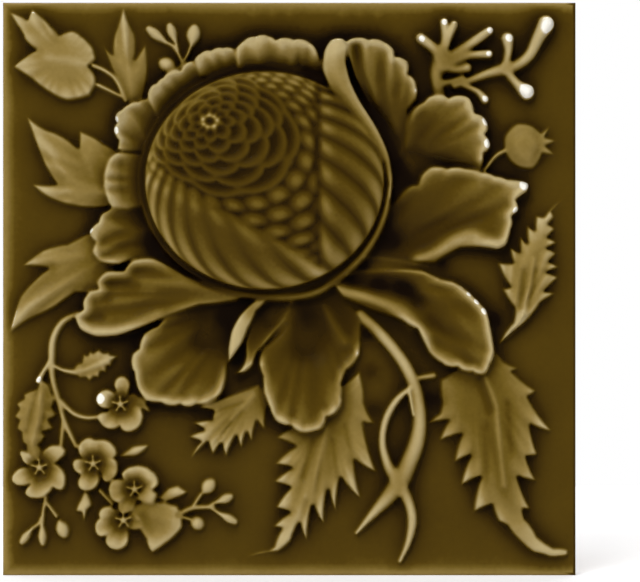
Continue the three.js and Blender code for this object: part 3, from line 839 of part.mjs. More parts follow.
// A keying channel: a box that narrows as it goes in, standing a little proud of the back before it is cut
const CUT_OVERRUN = 1;
function keyChannel(x, length) {
  const depth = KEY_DEPTH + CUT_OVERRUN;
  const box = new THREE.BoxGeometry(KEY_WIDTH, depth, length);
  const place = box.attributes.position;
  for (let i = 0; i < place.count; i += 1) {
    const inner = place.getY(i) < 0 ? KEY_DRAFT : -KEY_DRAFT * (CUT_OVERRUN / KEY_DEPTH);
    place.setX(i, place.getX(i) - Math.sign(place.getX(i)) * inner);
    place.setZ(i, place.getZ(i) - Math.sign(place.getZ(i)) * inner);
  }
  box.translate(x, (CUT_OVERRUN - KEY_DEPTH) / 2, 0);
  return box;
}
const channelPlaces = () => {
  const places = [];
  const limit = TILE_SIDE / 2 - KEY_MARGIN - KEY_WIDTH / 2;
  for (let x = (KEY_LAND + KEY_WIDTH) / 2; x <= limit; x += KEY_LAND + KEY_WIDTH) places.push(-x, x);
  return places;
};

const wasm = await Module();
wasm.setup();
const toManifold = (geometry) => {
  const bare = geometry.clone();
  bare.deleteAttribute('normal');
  bare.deleteAttribute('uv');
  const merged = BufferGeometryUtils.mergeVertices(bare);
  return new wasm.Manifold(new wasm.Mesh({
    numProp: 3,
    vertProperties: new Float32Array(merged.attributes.position.array),
    triVerts: new Uint32Array(merged.index.array),
  }));
};
const toGeometry = (manifold) => {
  const { numProp, vertProperties, triVerts } = manifold.getMesh();
  const geometry = new THREE.BufferGeometry();
  const positions = new Float32Array((vertProperties.length / numProp) * 3);
  for (let i = 0; i < positions.length / 3; i += 1) {
    positions.set(vertProperties.subarray(i * numProp, i * numProp + 3), i * 3);
  }
  geometry.setAttribute('position', new THREE.BufferAttribute(positions, 3));
  geometry.setIndex(new THREE.BufferAttribute(new Uint32Array(triVerts), 1));
  geometry.computeVertexNormals();
  return geometry;
};

const { positions, faces } = tileSolid();
const body = new THREE.BufferGeometry();
body.setAttribute('position', new THREE.Float32BufferAttribute(positions.flat(), 3));
body.setIndex(faces.flat());
const keyed = channelPlaces().reduce(
  (solid, x) => solid.subtract(toManifold(keyChannel(x, TILE_SIDE - 2 * KEY_MARGIN))), toManifold(body));

const glazed = new THREE.MeshStandardMaterial({ color: 0x5f4a14, roughness: 0.22, metalness: 0 });
const reliefTile = new THREE.Mesh(toGeometry(keyed), glazed);
reliefTile.name = 'relief_tile';

const tile = new THREE.Group();
tile.add(reliefTile);
export default tile;
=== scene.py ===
import bpy
import numpy as np
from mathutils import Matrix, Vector


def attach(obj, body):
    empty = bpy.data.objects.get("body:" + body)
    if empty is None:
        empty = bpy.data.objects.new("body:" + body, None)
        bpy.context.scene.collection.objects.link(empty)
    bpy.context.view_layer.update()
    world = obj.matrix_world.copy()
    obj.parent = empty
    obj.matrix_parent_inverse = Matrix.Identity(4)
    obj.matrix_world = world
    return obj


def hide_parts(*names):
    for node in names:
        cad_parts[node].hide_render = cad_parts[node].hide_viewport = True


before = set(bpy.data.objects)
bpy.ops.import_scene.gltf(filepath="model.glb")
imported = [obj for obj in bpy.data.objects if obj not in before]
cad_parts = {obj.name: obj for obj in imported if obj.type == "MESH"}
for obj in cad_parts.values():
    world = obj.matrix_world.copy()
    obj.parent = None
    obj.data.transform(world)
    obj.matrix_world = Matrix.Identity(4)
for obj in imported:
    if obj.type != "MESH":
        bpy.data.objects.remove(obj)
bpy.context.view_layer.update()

MM = 0.001

# The studio: the tile stands on a broad pale floor.  A long lens looks at it straight on, broad soft light
# comes from the front on the upper left, from above and from behind, and two narrow strips put a line of
# gloss on the left and top edges.
TILE_SIDE = 152.4                  # a six-inch module; every length here is in millimetres
LENS = 200.0
SENSOR = 36.0
FRAME_WIDTH = 170.3                # what the picture takes in across the tile's face
FRAME_CENTRE = (8.19, -0.54)       # the middle of the picture, from the middle of the tile
FACE_PLANE = 9.0                   # where that width is taken, out from the tile's back

camera_data = bpy.data.cameras.new("camera")
camera_data.lens = LENS
camera_data.sensor_width = SENSOR
camera = bpy.data.objects.new("camera", camera_data)
bpy.context.scene.collection.objects.link(camera)
camera_distance = FRAME_WIDTH * LENS / SENSOR + FACE_PLANE
camera.location = (FRAME_CENTRE[0] * MM, -camera_distance * MM, FRAME_CENTRE[1] * MM)
camera.rotation_euler = (np.pi / 2, 0, 0)
bpy.context.scene.camera = camera


def soft_light(name, place, size, strength):
    """A rectangular light at a place in millimetres, turned to the middle of the tile."""
    data = bpy.data.lights.new(name, "AREA")
    data.shape = "RECTANGLE"
    data.size, data.size_y = size[0] * MM, size[1] * MM
    data.energy = strength
    light = bpy.data.objects.new(name, data)
    light.location = Vector(place) * MM
    light.rotation_euler = (-light.location).to_track_quat("-Z", "Y").to_euler()
    bpy.context.scene.collection.objects.link(light)
    return light


def broad_light(name, heading, strength, breadth):
    """Daylight through a wide white cloth: parallel light on its way along a heading, its source as broad
    as an angle in degrees.  It doesn't show in the gloss."""
    data = bpy.data.lights.new(name, "SUN")
    data.energy, data.angle = strength, np.radians(breadth)
    light = bpy.data.objects.new(name, data)
    light.rotation_euler = Vector(heading).to_track_quat("-Z", "Y").to_euler()
    light.visible_glossy = False
    bpy.context.scene.collection.objects.link(light)


broad_light("front_left", (0.4, 1.0, -0.7), 1.9, 24)
broad_light("above", (0.12, 0.55, -1.0), 1.3, 34)
broad_light("behind", (-0.35, -1.0, -0.35), 0.9, 30)
soft_light("left_strip", (-720, 330, 0), (60, 520), 1.5)
soft_light("top_strip", (-60, 330, 720), (700, 80), 2.6)

world = bpy.data.worlds.new("studio")
bpy.context.scene.world = world
world.use_nodes = True
bpy.context.scene.view_settings.view_transform = "Standard"


class Value:
    """One value on its way through a material's nodes: sums written on it become Math nodes."""

    def __init__(self, tree, socket):
        self.tree, self.socket = tree, socket

    def node(self, kind, settings=None, output=0, **sockets):
        """Any other node: its type, its settings, then the values or links of its sockets, by name or by
        number as s0, s1 and so on."""
        made = self.tree.nodes.new(kind)
        for key, value in (settings or {}).items():
            if key == "stops":
                ramp = made.color_ramp
                while len(ramp.elements) < len(value):
                    ramp.elements.new(0.5)
                for stop, (place, colour) in zip(ramp.elements, value):
                    stop.position, stop.color = place, (*colour, 1)
            else:
                setattr(made, key, value)
        for key, value in sockets.items():
            number = key[1:]
            target = made.inputs[int(number) if key[0] == "s" and number.isdigit() else key.replace("_", " ")]
            if isinstance(value, Value):
                self.tree.links.new(value.socket, target)
            else:
                target.default_value = value
        return Value(self.tree, made.outputs[output])

    def math(self, operation, *values):
        """A Math node on values and numbers."""
        numbered = {f"s{i}": value for i, value in enumerate(values)}
        return self.node("ShaderNodeMath", {"operation": operation}, **numbered)

    def __add__(self, other):
        return self.math("ADD", self, other)

    def __sub__(self, other):
        return self.math("SUBTRACT", self, other)

    def __rsub__(self, other):
        return self.math("SUBTRACT", other, self)

    def __mul__(self, other):
        return self.math("MULTIPLY", self, other)

    __radd__ = __add__
    __rmul__ = __mul__

    def between(self, low, high):
        """0 up to low, 1 from high on, and an even climb from one to the other."""
        return self.node("ShaderNodeMapRange", Value=self, From_Min=low, From_Max=high)

    def blend(self, first, second):
        """A colour that goes from the first to the second as this value goes from 0 to 1."""
        return self.node("ShaderNodeMix", {"data_type": "RGBA"}, 2, s0=self, s6=first, s7=second)


# The room outside the lights: white to the lens, and a weak even grey to everything that it lights.
def lit_world(tree):
    """The strength is 1 on a ray from the camera and 0.02 on any other."""
    tree.nodes.clear()
    seen = Value(tree, tree.nodes.new("ShaderNodeLightPath").outputs["Is Camera Ray"])
    strength = seen * 0.98 + 0.02
    background = seen.node("ShaderNodeBackground", Color=(1, 1, 1, 1), Strength=strength)
    tree.links.new(background.socket, tree.nodes.new("ShaderNodeOutputWorld").inputs["Surface"])


lit_world(world.node_tree)

# The floor: seamless pale paper, a little lit from below, that the tile stands on.  It ends not far behind
# the tile, where the white room takes over.
FLOOR_REACH = 3000.0               # to the front and to both sides of the tile
FLOOR_BEHIND = 420.0
floor_mesh = bpy.data.meshes.new("floor")
floor_mesh.from_pydata(
    [(x * MM, y * MM, -TILE_SIDE * MM / 2) for x, y in (
        (-FLOOR_REACH, -FLOOR_REACH), (FLOOR_REACH, -FLOOR_REACH),
        (FLOOR_REACH, FLOOR_BEHIND), (-FLOOR_REACH, FLOOR_BEHIND))], [], [(0, 1, 2, 3)])
floor = bpy.data.objects.new("floor", floor_mesh)
bpy.context.scene.collection.objects.link(floor)
PAPER_TONE = 0.8
PAPER_ROUGHNESS = 0.9
PAPER_GLOW = 0.34
paper = bpy.data.materials.new("paper")
paper.use_nodes = True
paper_shader = paper.node_tree.nodes["Principled BSDF"]
paper_shader.inputs["Base Color"].default_value = (PAPER_TONE, PAPER_TONE, PAPER_TONE, 1)
paper_shader.inputs["Roughness"].default_value = PAPER_ROUGHNESS
paper_shader.inputs["Emission Color"].default_value = (1, 0.98, 0.99, 1)
paper_shader.inputs["Emission Strength"].default_value = PAPER_GLOW
floor_mesh.materials.append(paper)
floor.visible_glossy = False

# The plain field of the tile, which the relief is pressed up from: a square sheet of heights above the field
# and of the glaze's own tone, row by row from the bottom edge to the top.  The drawing is the same as the
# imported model's, point for point, on a square of ART_SIDE with the flower's crown at ART_CROWN.
BODY_THICKNESS = 9.5
CROWN_HEIGHT = 9.5
ARRIS = 0.9
ART_SIDE = 150.6
ART_CROWN = 9.5
GRID = 1024                        # steps along a side, a power of two
PITCH = ART_SIDE / GRID

line = np.linspace(-ART_SIDE / 2, ART_SIDE / 2, GRID + 1)
across, upward = np.meshgrid(line, line)
height = np.zeros_like(across)
tone = np.zeros_like(across)


def clamped(value):
    """The value, but no less than 0 and no more than 1."""
    return np.clip(value, 0, 1)


def smooth(value):
    """0 to 1 in an S, level at both ends."""
    held = clamped(value)
    return held * held * (3 - 2 * held)


def mixed(first, second, share):
    """The first and that share of the step from it to the second."""
    return first + (second - first) * share


def patch_round(points, margin):
    """The rows and columns of the sheet that hold the points and a margin round them."""
    corners = np.array([p[:2] for p in points])
    first = np.clip(np.floor((corners.min(0) - margin + ART_SIDE / 2) / PITCH).astype(int), 0, GRID)
    last = np.clip(np.ceil((corners.max(0) + margin + ART_SIDE / 2) / PITCH).astype(int) + 1, 1, GRID + 1)
    return slice(first[1], last[1]), slice(first[0], last[0])


def lay(patch, mask, new_height, new_tone):
    """Lays a form over what the patch holds, as far as its mask covers."""
    height[patch] += (new_height - height[patch]) * mask
    tone[patch] += (new_tone - tone[patch]) * mask


def eased(points, steps=6):
    """A smooth curve through all the points, cubic from each to the next, with the slope at a point
    taken from the points on both sides of it."""
    p = np.array(points, float)
    p = np.concatenate([p[:1], p, p[-1:]])
    t = (np.arange(steps) / steps)[:, None]
    runs = []
    for before, a, b, after in zip(p, p[1:], p[2:], p[3:]):
        bend = 2 * before - 5 * a + 4 * b - after
        twist = 3 * a - before - 3 * b + after
        runs.append(a + 0.5 * ((b - before) * t + bend * t**2 + twist * t**3))
    return np.concatenate(runs + [p[-1:]])


def nearest_on(x, z, points, closed=False):
    """Distance to the nearest piece of a line of points, and how far along it: piece plus share of it."""
    ends = np.roll(points, -1, 0) if closed else points[1:]
    distance, place = np.full(x.shape, 1e9), np.zeros(x.shape)
    for i, (a, b) in enumerate(zip(points, ends)):
        dx, dz = b[0] - a[0], b[1] - a[1]
        share = clamped(((x - a[0]) * dx + (z - a[1]) * dz) / (dx * dx + dz * dz + 1e-12))
        found = np.hypot(x - a[0] - share * dx, z - a[1] - share * dz)
        nearer = found < distance
        distance = np.where(nearer, found, distance)
        place = np.where(nearer, i + share, place)
    return distance, place


def is_inside(x, z, points):
    """True where a line towards +X crosses the closed outline an odd number of times."""
    inside = np.zeros(x.shape, bool)
    for (ax, az), (bx, bz) in zip(points, np.roll(points, 1, 0)):
        if az != bz:
            inside ^= ((az > z) != (bz > z)) & (x < (bx - ax) * (z - az) / (bz - az) + ax)
    return inside


SWELL_POWER = 2.4


def run_points(outline, step=0.6):
    """The outline's corners joined by runs that bow out by half a share of their length, full in the
    middle and square at the ends: 1 - |2t - 1|^2.4."""
    corners = [(*p, 0) if len(p) == 2 else p for p in outline]
    x, z, swell = np.array(corners, float).T
    dx, dz = np.roll(x, -1) - x, np.roll(z, -1) - z
    outward = 1 if np.sum(x * np.roll(z, -1) - np.roll(x, -1) * z) > 0 else -1
    runs = []
    for i in range(len(x)):
        pieces = 1 if swell[i] == 0 else max(4, int(np.ceil(np.hypot(dx[i], dz[i]) / step)))
        t = np.arange(pieces) / pieces
        rise = outward * swell[i] * 0.5 * (1 - np.abs(2 * t - 1) ** SWELL_POWER)
        runs.append(np.stack([x[i] + t * dx[i] + dz[i] * rise, z[i] + t * dz[i] - dx[i] * rise], 1))
    return np.concatenate(runs)


# The leaves that lie low on the field at the upper left, pressed with the rest of the relief: each climbs
# from its root to its tips, with its veins as soft ridges and furrows.
CREASE_WIDTH = 0.75
CREASE_DEPTH = 0.6
LOBE_SWELL = 0.08
EDGE_REACH = 0.6
LEAF_TONE = (-0.25, -0.2)          # glaze over the field's, at the root and at the tips: less is lighter
LEAST_RISE = 0.1
FLUTE_SWAY = 1.3
FLUTE_BEAT = 0.31


def blade(outline, root, near, far, cup=0, dome=0, lip=2.2, edge=1, folds=(), crease=0, tones=LEAF_TONE,
          rim=0.1, flutes=(0, 0)):
    """A petal or leaf.  Its height goes from near to far, each a distance from its root and a height, in
    an S.  Its middle sinks by cup inside a raised lip, or swells by dome, and it rounds down to the field
    over the breadth of its edge.  A fold is points, a width and a height, and adds the height times
    e^-(distance / width)^2.  Each notch between two lobes sends a fading crease, as long as crease says,
    towards the root.  Flutes fan out from the root: a depth times the sine of a count times the angle
    round it, swayed a little so that no two are alike.  Along the outline the glaze is thinner by rim."""
    edges = run_points(outline)
    patch = patch_round(edges, 0.2)
    x, z = across[patch], upward[patch]
    inward = np.where(is_inside(x, z, edges), nearest_on(x, z, edges, True)[0], 0)
    climb = smooth((np.hypot(x - root[0], z - root[1]) - near[0]) / (far[0] - near[0]))
    rise = mixed(near[1], far[1], climb) + (dome - cup * climb) * smooth((inward - lip * 0.3) / lip)
    for points, width, rises in folds:
        rise += rises * np.exp(-((nearest_on(x, z, eased(points))[0] / width) ** 2))
    count, flute_depth = flutes
    around = count * np.arctan2(z - root[1], x - root[0])
    rise += flute_depth * climb * np.sin(around + FLUTE_SWAY * np.sin(FLUTE_BEAT * around))
    swells = [p[2] if len(p) > 2 else 0 for p in outline]
    for i, (px, pz, *_) in enumerate(outline):
        if crease and min(swells[i - 1], swells[i]) >= LOBE_SWELL:
            reach = crease / np.hypot(root[0] - px, root[1] - pz)
            end = (mixed(px, root[0], reach), mixed(pz, root[1], reach))
            distance, share = nearest_on(x, z, np.array([(px, pz), end]))
            rise -= CREASE_DEPTH * (1 - share) * np.exp(-((distance / CREASE_WIDTH) ** 2))
    thinned = mixed(*tones, climb) - rim * np.exp(-((inward / EDGE_REACH) ** 2))
    lay(patch, 1 - (1 - clamped(inward / edge)) ** 2, np.maximum(rise, LEAST_RISE), thinned)


blade([[-42.5, 49], [-47.4, 58.6], [-49.8, 65.6, -0.1], [-47, 62.4, 0.1], [-46.2, 68.6], [-44, 75, -0.06],
    [-41, 68, 0.1], [-41, 61], [-38.2, 65.2, 0.08], [-37.6, 56], [-38.8, 50]],
    root=[-42, 50], near=[4, 0.9], far=[24, 1.5], dome=0.5, lip=2.6, edge=0.9,
    folds=[([[-42, 51], [-43.6, 70]], 0.8, 0.25)],
    tones=(-0.27, -0.22), flutes=(24, 0.28))
blade([[-69.8, 46, -0.08], [-64, 42.2, 0.12], [-57.4, 38.6], [-56, 37.6], [-55.8, 42, 0.1],
    [-49.4, 38.8, 0.06], [-42, 34], [-42, 24], [-48.4, 21.6, 0.08], [-57, 22, 0.1], [-64.6, 24.6, 0.08],
    [-68.5, 28, -0.08], [-62, 27.9, 0.05], [-65.4, 33.6, 0.03]],
    root=[-46, 28], near=[3, 1.3], far=[28, 1.9], dome=0.6, lip=3, edge=0.9,
    folds=[([[-48, 25.5], [-58, 29.5], [-66, 40]], 1, 0.3), ([[-50, 25.4], [-64, 26.4]], 0.9, 0.2),
           ([[-51, 27], [-55.4, 39]], 0.9, 0.2)],
    tones=(-0.27, -0.24), flutes=(22, 0.28))
blade([[-71, 6, 0.06], [-65.4, 10.4, 0.08], [-59, 12], [-52.6, 15.4, 0.05], [-46, 14], [-46, -2],
    [-56.6, -1.1], [-60, -3.4, 0.06], [-67, -7.2, -0.06], [-74.2, -11.6, 0.06], [-71.6, -2, 0.08],
    [-64.2, 5.4, -0.08]],
    root=[-50, 8], near=[3, 1.3], far=[26, 1.8], dome=0.6, lip=3, edge=0.9,
    folds=[([[-51, 9], [-65, 8.4]], 1, 0.2), ([[-51, 7], [-66, -2.5], [-73, -9]], 1, 0.25)],
    tones=(-0.26, -0.14), flutes=(26, 0.28))

# The bell flower at the upper left, low relief in the same clay: a hanging bloom with soft lobes, pressed
# with the tile, on two thread-like stalks that join it to the leaf.
THREAD_TONE = -0.38                # here and below, glaze over the field's


def twig(corners, glaze_tone):
    """A half-round line through points that are x, z, half its width and its height there:
    height times the root of 1 - (distance / half width)^2."""
    points = eased(corners)
    patch = patch_round(points, points[:, 2].max() + 0.2)
    x, z = across[patch], upward[patch]
    outward, rise = np.full(x.shape, 9.0), np.zeros(x.shape)
    for a, b in zip(points, points[1:]):
        distance, share = nearest_on(x, z, np.array([a, b]))
        ratio = distance / mixed(a[2], b[2], share)
        nearer = ratio < outward
        outward = np.where(nearer, ratio, outward)
        rise = np.where(nearer, mixed(a[3], b[3], share), rise)
    lay(patch, np.sqrt(clamped(1 - outward**2)), rise, glaze_tone)


twig([[-52, 59.3, 0.7, 1.9], [-49, 58, 0.65, 1.7], [-46, 55.5, 0.65, 1.6], [-43.4, 50, 0.7, 1.6]],
    THREAD_TONE)
twig([[-50.8, 54.2, 0.6, 1.8], [-47.5, 52.6, 0.5, 1.5], [-43.6, 50.6, 0.5, 1.4]], THREAD_TONE)
blade([[-74.3, 73.5, 0.1], [-69.6, 71.7], [-68.4, 74.4, 0.08], [-63, 69.8, 0.08], [-61, 67.6, 0.15],
    [-57.4, 68.7, 0.15], [-55.2, 67.4, 0.1], [-52, 64.2, 0.12], [-51.2, 60.6], [-53, 59.2],
    [-51.6, 57.4, 0.15], [-51.1, 54.6, 0.1], [-53, 51.2, 0.05], [-58, 50, 0.15], [-62.4, 51.3, 0.06],
    [-68.4, 55.6], [-73.4, 59, 0.08], [-67.6, 63.5, 0.1], [-70.4, 66.2, -0.08], [-72.4, 70]],
    root=[-60, 61], near=[2, 1.6], far=[14, 2.3], cup=0.1, dome=0.4, lip=2.6,
    folds=[([[-64, 61.4], [-58, 60.6], [-52, 59]], 1.1, 0.4),
           ([[-66, 57], [-60, 54.6], [-54.4, 55]], 2.6, -0.3),
           ([[-62, 66], [-57, 65], [-54, 62.6]], 2, -0.25), ([[-70, 68.4], [-66, 69.6]], 1.6, -0.2)],
    tones=(-0.4, -0.2), flutes=(20, 0.25))

# The sprig of four buds beside the ruff, in the same clay: round stalks that end in plump spindles, pressed
# half out of the field.
BUD_SPRIG_TONE = -0.3
STALK_HALF_WIDE = 0.6
STALK_HEIGHT = 1.8
BUD_HEIGHT = 2.7
BUD_WIDEST = 0.6                   # as a share of its length


def bud(stalk, foot, tip, half_wide, glaze_tone):
    """A bud on its stalk: a spindle from foot to tip that is widest at six tenths of its length."""
    twig([(*place, STALK_HALF_WIDE, STALK_HEIGHT) for place in stalk], glaze_tone)
    widest = [mixed(a, b, BUD_WIDEST) for a, b in zip(foot, tip)]
    twig([(*foot, half_wide * 0.4, BUD_HEIGHT * 0.75), (*widest, half_wide, BUD_HEIGHT),
          (*tip, half_wide * 0.7, BUD_HEIGHT * 0.85)], glaze_tone)


bud([[-28.4, 60], [-29.4, 62.4], [-31, 64.6], [-33, 65.6]], [-32.8, 65.6], [-37.2, 69], 1.5,
    BUD_SPRIG_TONE)
bud([[-29.6, 63.2], [-30.2, 66.4]], [-30.3, 65.8], [-31.7, 69.8], 1.5, BUD_SPRIG_TONE)
bud([[-28, 60.3], [-26.8, 62.6], [-25.8, 65.2]], [-25.8, 65], [-25.2, 69], 2.1, BUD_SPRIG_TONE)
bud([[-28.4, 59.6], [-29.6, 58.4]], [-30.6, 58.6], [-33.4, 60], 2.2, BUD_SPRIG_TONE)

# The long arching spray at the lower left, pressed with the tile: a round stalk that forks three times,
# and two serrated leaves with a midrib and furrows beside it.
SPRAY_TONE = -0.17


def toothed(*corners):
    """A toothed outline: hollows and tips by turns, the run up to a tip swelling a little."""
    return [(x, z, -0.06 if i % 2 else 0.1) for i, (x, z) in enumerate(corners)]


twig([[-56.2, -6.6, 0.9, 1.9], [-60.2, -8.8, 1, 2], [-62.6, -13, 1.1, 2.2], [-63.1, -18, 1.15, 2.3],
    [-62.8, -24, 1, 2.2], [-61, -30.5, 0.95, 2], [-59.6, -35.5, 0.85, 2], [-56.6, -41.8, 0.8, 1.8]],
    SPRAY_TONE)
twig([[-60, -35, 0.7, 1.8], [-60.6, -41.6, 0.8, 1.6]], SPRAY_TONE)
twig([[-60.6, -30, 0.9, 2], [-57.4, -33, 0.75, 2], [-54, -34.2, 0.65, 2], [-50.4, -34, 0.7, 2]], SPRAY_TONE)
twig([[-63.4, -19, 0.8, 2.2], [-65, -21.6, 0.75, 2.5], [-66.6, -24.4, 0.9, 2.8]], SPRAY_TONE)
twig([[-62.4, -20.4, 0.6, 2.2], [-60, -21.6, 0.65, 2.2], [-56.6, -22.2, 0.8, 2]], SPRAY_TONE)
blade(toothed([-57.6, -21.6], [-56, -19.6], [-55.2, -19.6], [-54.6, -17.2], [-53.6, -17.6], [-52.8, -16.3],
    [-52, -16.9], [-50.4, -15.9], [-49.2, -16.9], [-47.8, -16.7], [-47.3, -17.4], [-45.2, -18],
    [-47, -19.2], [-47.2, -20.4], [-48.4, -20.6], [-48.6, -22.2], [-50, -22], [-50.6, -23.8],
    [-51.8, -23.4], [-53.2, -24.6], [-54.2, -23.6], [-56, -23.6]),
    root=[-57, -22], near=[1, 1.4], far=[9, 2], dome=0.3, lip=1.6, edge=0.7,
    folds=[([[-57, -22.2], [-52, -20.6], [-47, -18.6]], 0.6, 0.35),
           ([[-55, -20.8], [-50, -18.4]], 0.5, -0.25), ([[-54.6, -22.8], [-49.6, -21]], 0.5, -0.25)],
    tones=(-0.15, -0.15))
blade(toothed([-65.6, -23.8], [-67.2, -26.4], [-68, -26.8], [-70.6, -28], [-70.6, -29.2], [-72.6, -30.6],
    [-71.8, -32], [-73, -34], [-71.8, -35], [-72.4, -37.4], [-71.2, -38.2], [-70.8, -41], [-70, -41.6],
    [-69.2, -46], [-66.4, -46], [-65.6, -42.6], [-66.4, -41.4], [-64.6, -39.2], [-65.4, -38],
    [-62.4, -37], [-63.8, -34.8], [-61.6, -33.4], [-62.8, -31.4], [-62, -28.8], [-63, -27.6],
    [-63.8, -25.2]),
    root=[-66, -24], near=[2, 1.7], far=[18, 1.5], dome=0.5, lip=2, edge=0.7,
    folds=[([[-66, -24], [-66.4, -32], [-68, -41]], 0.7, 0.35),
           ([[-66.6, -26], [-68.6, -33], [-69.6, -38]], 0.6, -0.4),
           ([[-65.4, -26], [-64.8, -32], [-65.8, -37]], 0.6, -0.4),
           ([[-64.4, -26.6], [-63.6, -32]], 0.5, -0.3)],
    tones=(-0.12, -0.16))

# The five-petalled blossoms of the spray, with their buds and small leaves, all in the tile's clay: hollowed
# petals that overlap round a knob, with five stamens laid over them.
SPRIG_TONE = -0.15
BLOSSOM_TONE = (0.02, -0.16)
BLOSSOM_HEIGHT = 2.7
BLOSSOM_RIM = 0.08
BLOSSOM_FLUTES = (9, 0.16)
CLAW = 0.2                         # how near the middle a claw ends, as a share of the way
SIXTH_SWELL = 0.27
PETAL_SHARE = 1.04
KNOB_TONE = (-0.4, -0.2)
FLORET_STAMENS = 5
FLORET_STAMEN_LENGTH = 2.0
FLORET_STAMEN_TONE = -0.35


def oval(x, z, half_long, half_wide, turn=0):
    """An oval outline in six bowed runs, turned anticlockwise from +X in degrees."""
    angle, turned = np.radians(np.arange(0, 360, 60)), np.radians(turn)
    u, v = half_long * np.cos(angle), half_wide * np.sin(angle)
    places = np.stack([x + u * np.cos(turned) - v * np.sin(turned),
                       z + u * np.sin(turned) + v * np.cos(turned)], 1)
    return [[px, pz, SIXTH_SWELL] for px, pz in places]


def blossom(middle, *petals):
    """Petals as ovals of a place, two half sizes, a turn and a height, each with the corner nearest the
    middle drawn out to it as a claw."""
    for px, pz, half_long, half_wide, *more in petals:
        turn, rise = (more + [0, BLOSSOM_HEIGHT][len(more):])[:2]
        outline = oval(px, pz, half_long * PETAL_SHARE, half_wide * PETAL_SHARE, turn)
        claw = min(outline, key=lambda corner: np.hypot(corner[0] - middle[0], corner[1] - middle[1]))
        claw[:2] = [mixed(m, c, CLAW) for m, c in zip(middle, claw)]
        reach = np.hypot(px - middle[0], pz - middle[1]) + 0.7 * half_long
        blade(outline, root=middle, near=[0.9, 0.6], far=[reach * 0.8, rise], cup=0.3, dome=0.1, lip=1.2,
              edge=0.8, tones=BLOSSOM_TONE, rim=BLOSSOM_RIM, flutes=BLOSSOM_FLUTES)
    blade(oval(*middle, 1.1, 1.0), root=middle, near=[0, 2.4], far=[1.2, 1.8], edge=0.5, tones=KNOB_TONE)
    for k in range(FLORET_STAMENS):
        angle = 2 * np.pi * (k + 0.3) / FLORET_STAMENS
        tip = [m + FLORET_STAMEN_LENGTH * turn(angle) for m, turn in zip(middle, (np.cos, np.sin))]
        twig([(*middle, 0.3, 2.2), (*tip, 0.35, 2.4)], FLORET_STAMEN_TONE)


blossom([-44.8, -30.6], [-39.4, -30.2, 3.4, 1.1, -45, 2], [-44.3, -25.6, 2.6, 2.3, 90],
    [-48.5, -29.3, 2.9, 2.6, 10, 3.2], [-47.9, -34.9, 3.3, 2.2, -28], [-41.9, -34.6, 3.9, 2.9, 50])
blossom([-66.3, -47.4], [-62.5, -43.6, 3.4, 2.1, 10], [-61.8, -49.9, 3.9, 2.4, -68],
    [-66.4, -53.2, 4, 2.3, 18], [-70.4, -49.8, 3.5, 2.4, 20], [-69.4, -45.2, 3, 1.3, -48, 3])
blossom([-52, -46.4], [-49.2, -42.6, 3.9, 2.5, -24], [-53.4, -42.4, 3.1, 2.7, 60],
    [-55.4, -47.2, 2.6, 2, -42], [-47.6, -48.2, 3.5, 2.2, 68], [-53.2, -51, 3.3, 2.6, 30])
blade([[-45.4, -44.6, 0.04], [-41.6, -41.7, 0.1], [-37.1, -41.5, 0.12], [-40.4, -44.4, 0.1]],
    root=[-46, -44], near=[1, 1.2], far=[8, 2], dome=0.4, lip=1.4, edge=0.8)
blade([[-54.6, -53.6], [-55.6, -56, 0.1], [-56.8, -59.2], [-55.2, -59.4], [-54.5, -62.2], [-53.5, -58.8],
    [-52.2, -57.6, 0.1], [-53.4, -54]],
    root=[-54, -53], near=[1, 1.6], far=[7, 2], dome=0.3, lip=1.2, edge=0.7)
twig([[-50.2, -53.6, 0.7, 1.8], [-47, -57.2, 0.6, 1.8]], SPRIG_TONE)
blade([[-35, -55.6], [-32.4, -53, 0.1], [-29.4, -52.2], [-26.8, -54, 0.05], [-29.8, -55.6], [-33, -57]],
    root=[-35, -56], near=[1, 1.3], far=[8, 2.1], dome=0.3, lip=1.4, edge=0.7)
blade([[-42.6, -58.6, 0.08], [-38, -56], [-33, -56.4], [-29.5, -57.4, 0.14], [-28, -63.2, 0.1],
    [-32.4, -67.6, 0.05], [-36.4, -70.2, 0.2], [-38.2, -66.6], [-40.2, -63.6]],
    root=[-39.5, -58.5], near=[1, 1.3], far=[12, 2.5], cup=0.3, dome=0.3, lip=1.8,
    folds=[([[-39, -60], [-37, -64.6]], 1.2, -0.4), ([[-36, -59.5], [-31, -61.5]], 1.4, 0.3)])
blossom([-44, -61.4], [-48.6, -59.4, 2.4, 1.7, 30], [-49.2, -63, 3.1, 2.4, 65], [-45.7, -66.6, 3.3, 2.7, 10],
    [-41.6, -61.8, 3, 2.2, -30, 1.9])
blossom([-41, -53.2], [-45.4, -53.6, 2.7, 3.4, 10], [-43.2, -57.4, 2.8, 2.2, 40, 2.2],
    [-39.6, -50.4, 5.2, 3.3, -14, 3.1])
blade([[-40.9, -55.8, 0.2], [-36, -57.4, 0.2], [-34.6, -54.4, 0.2], [-37.6, -52.4, 0.24]],
    root=[-40, -54], near=[0.5, 1.4], far=[4, 2.4], dome=0.5, lip=1.2, edge=0.8)

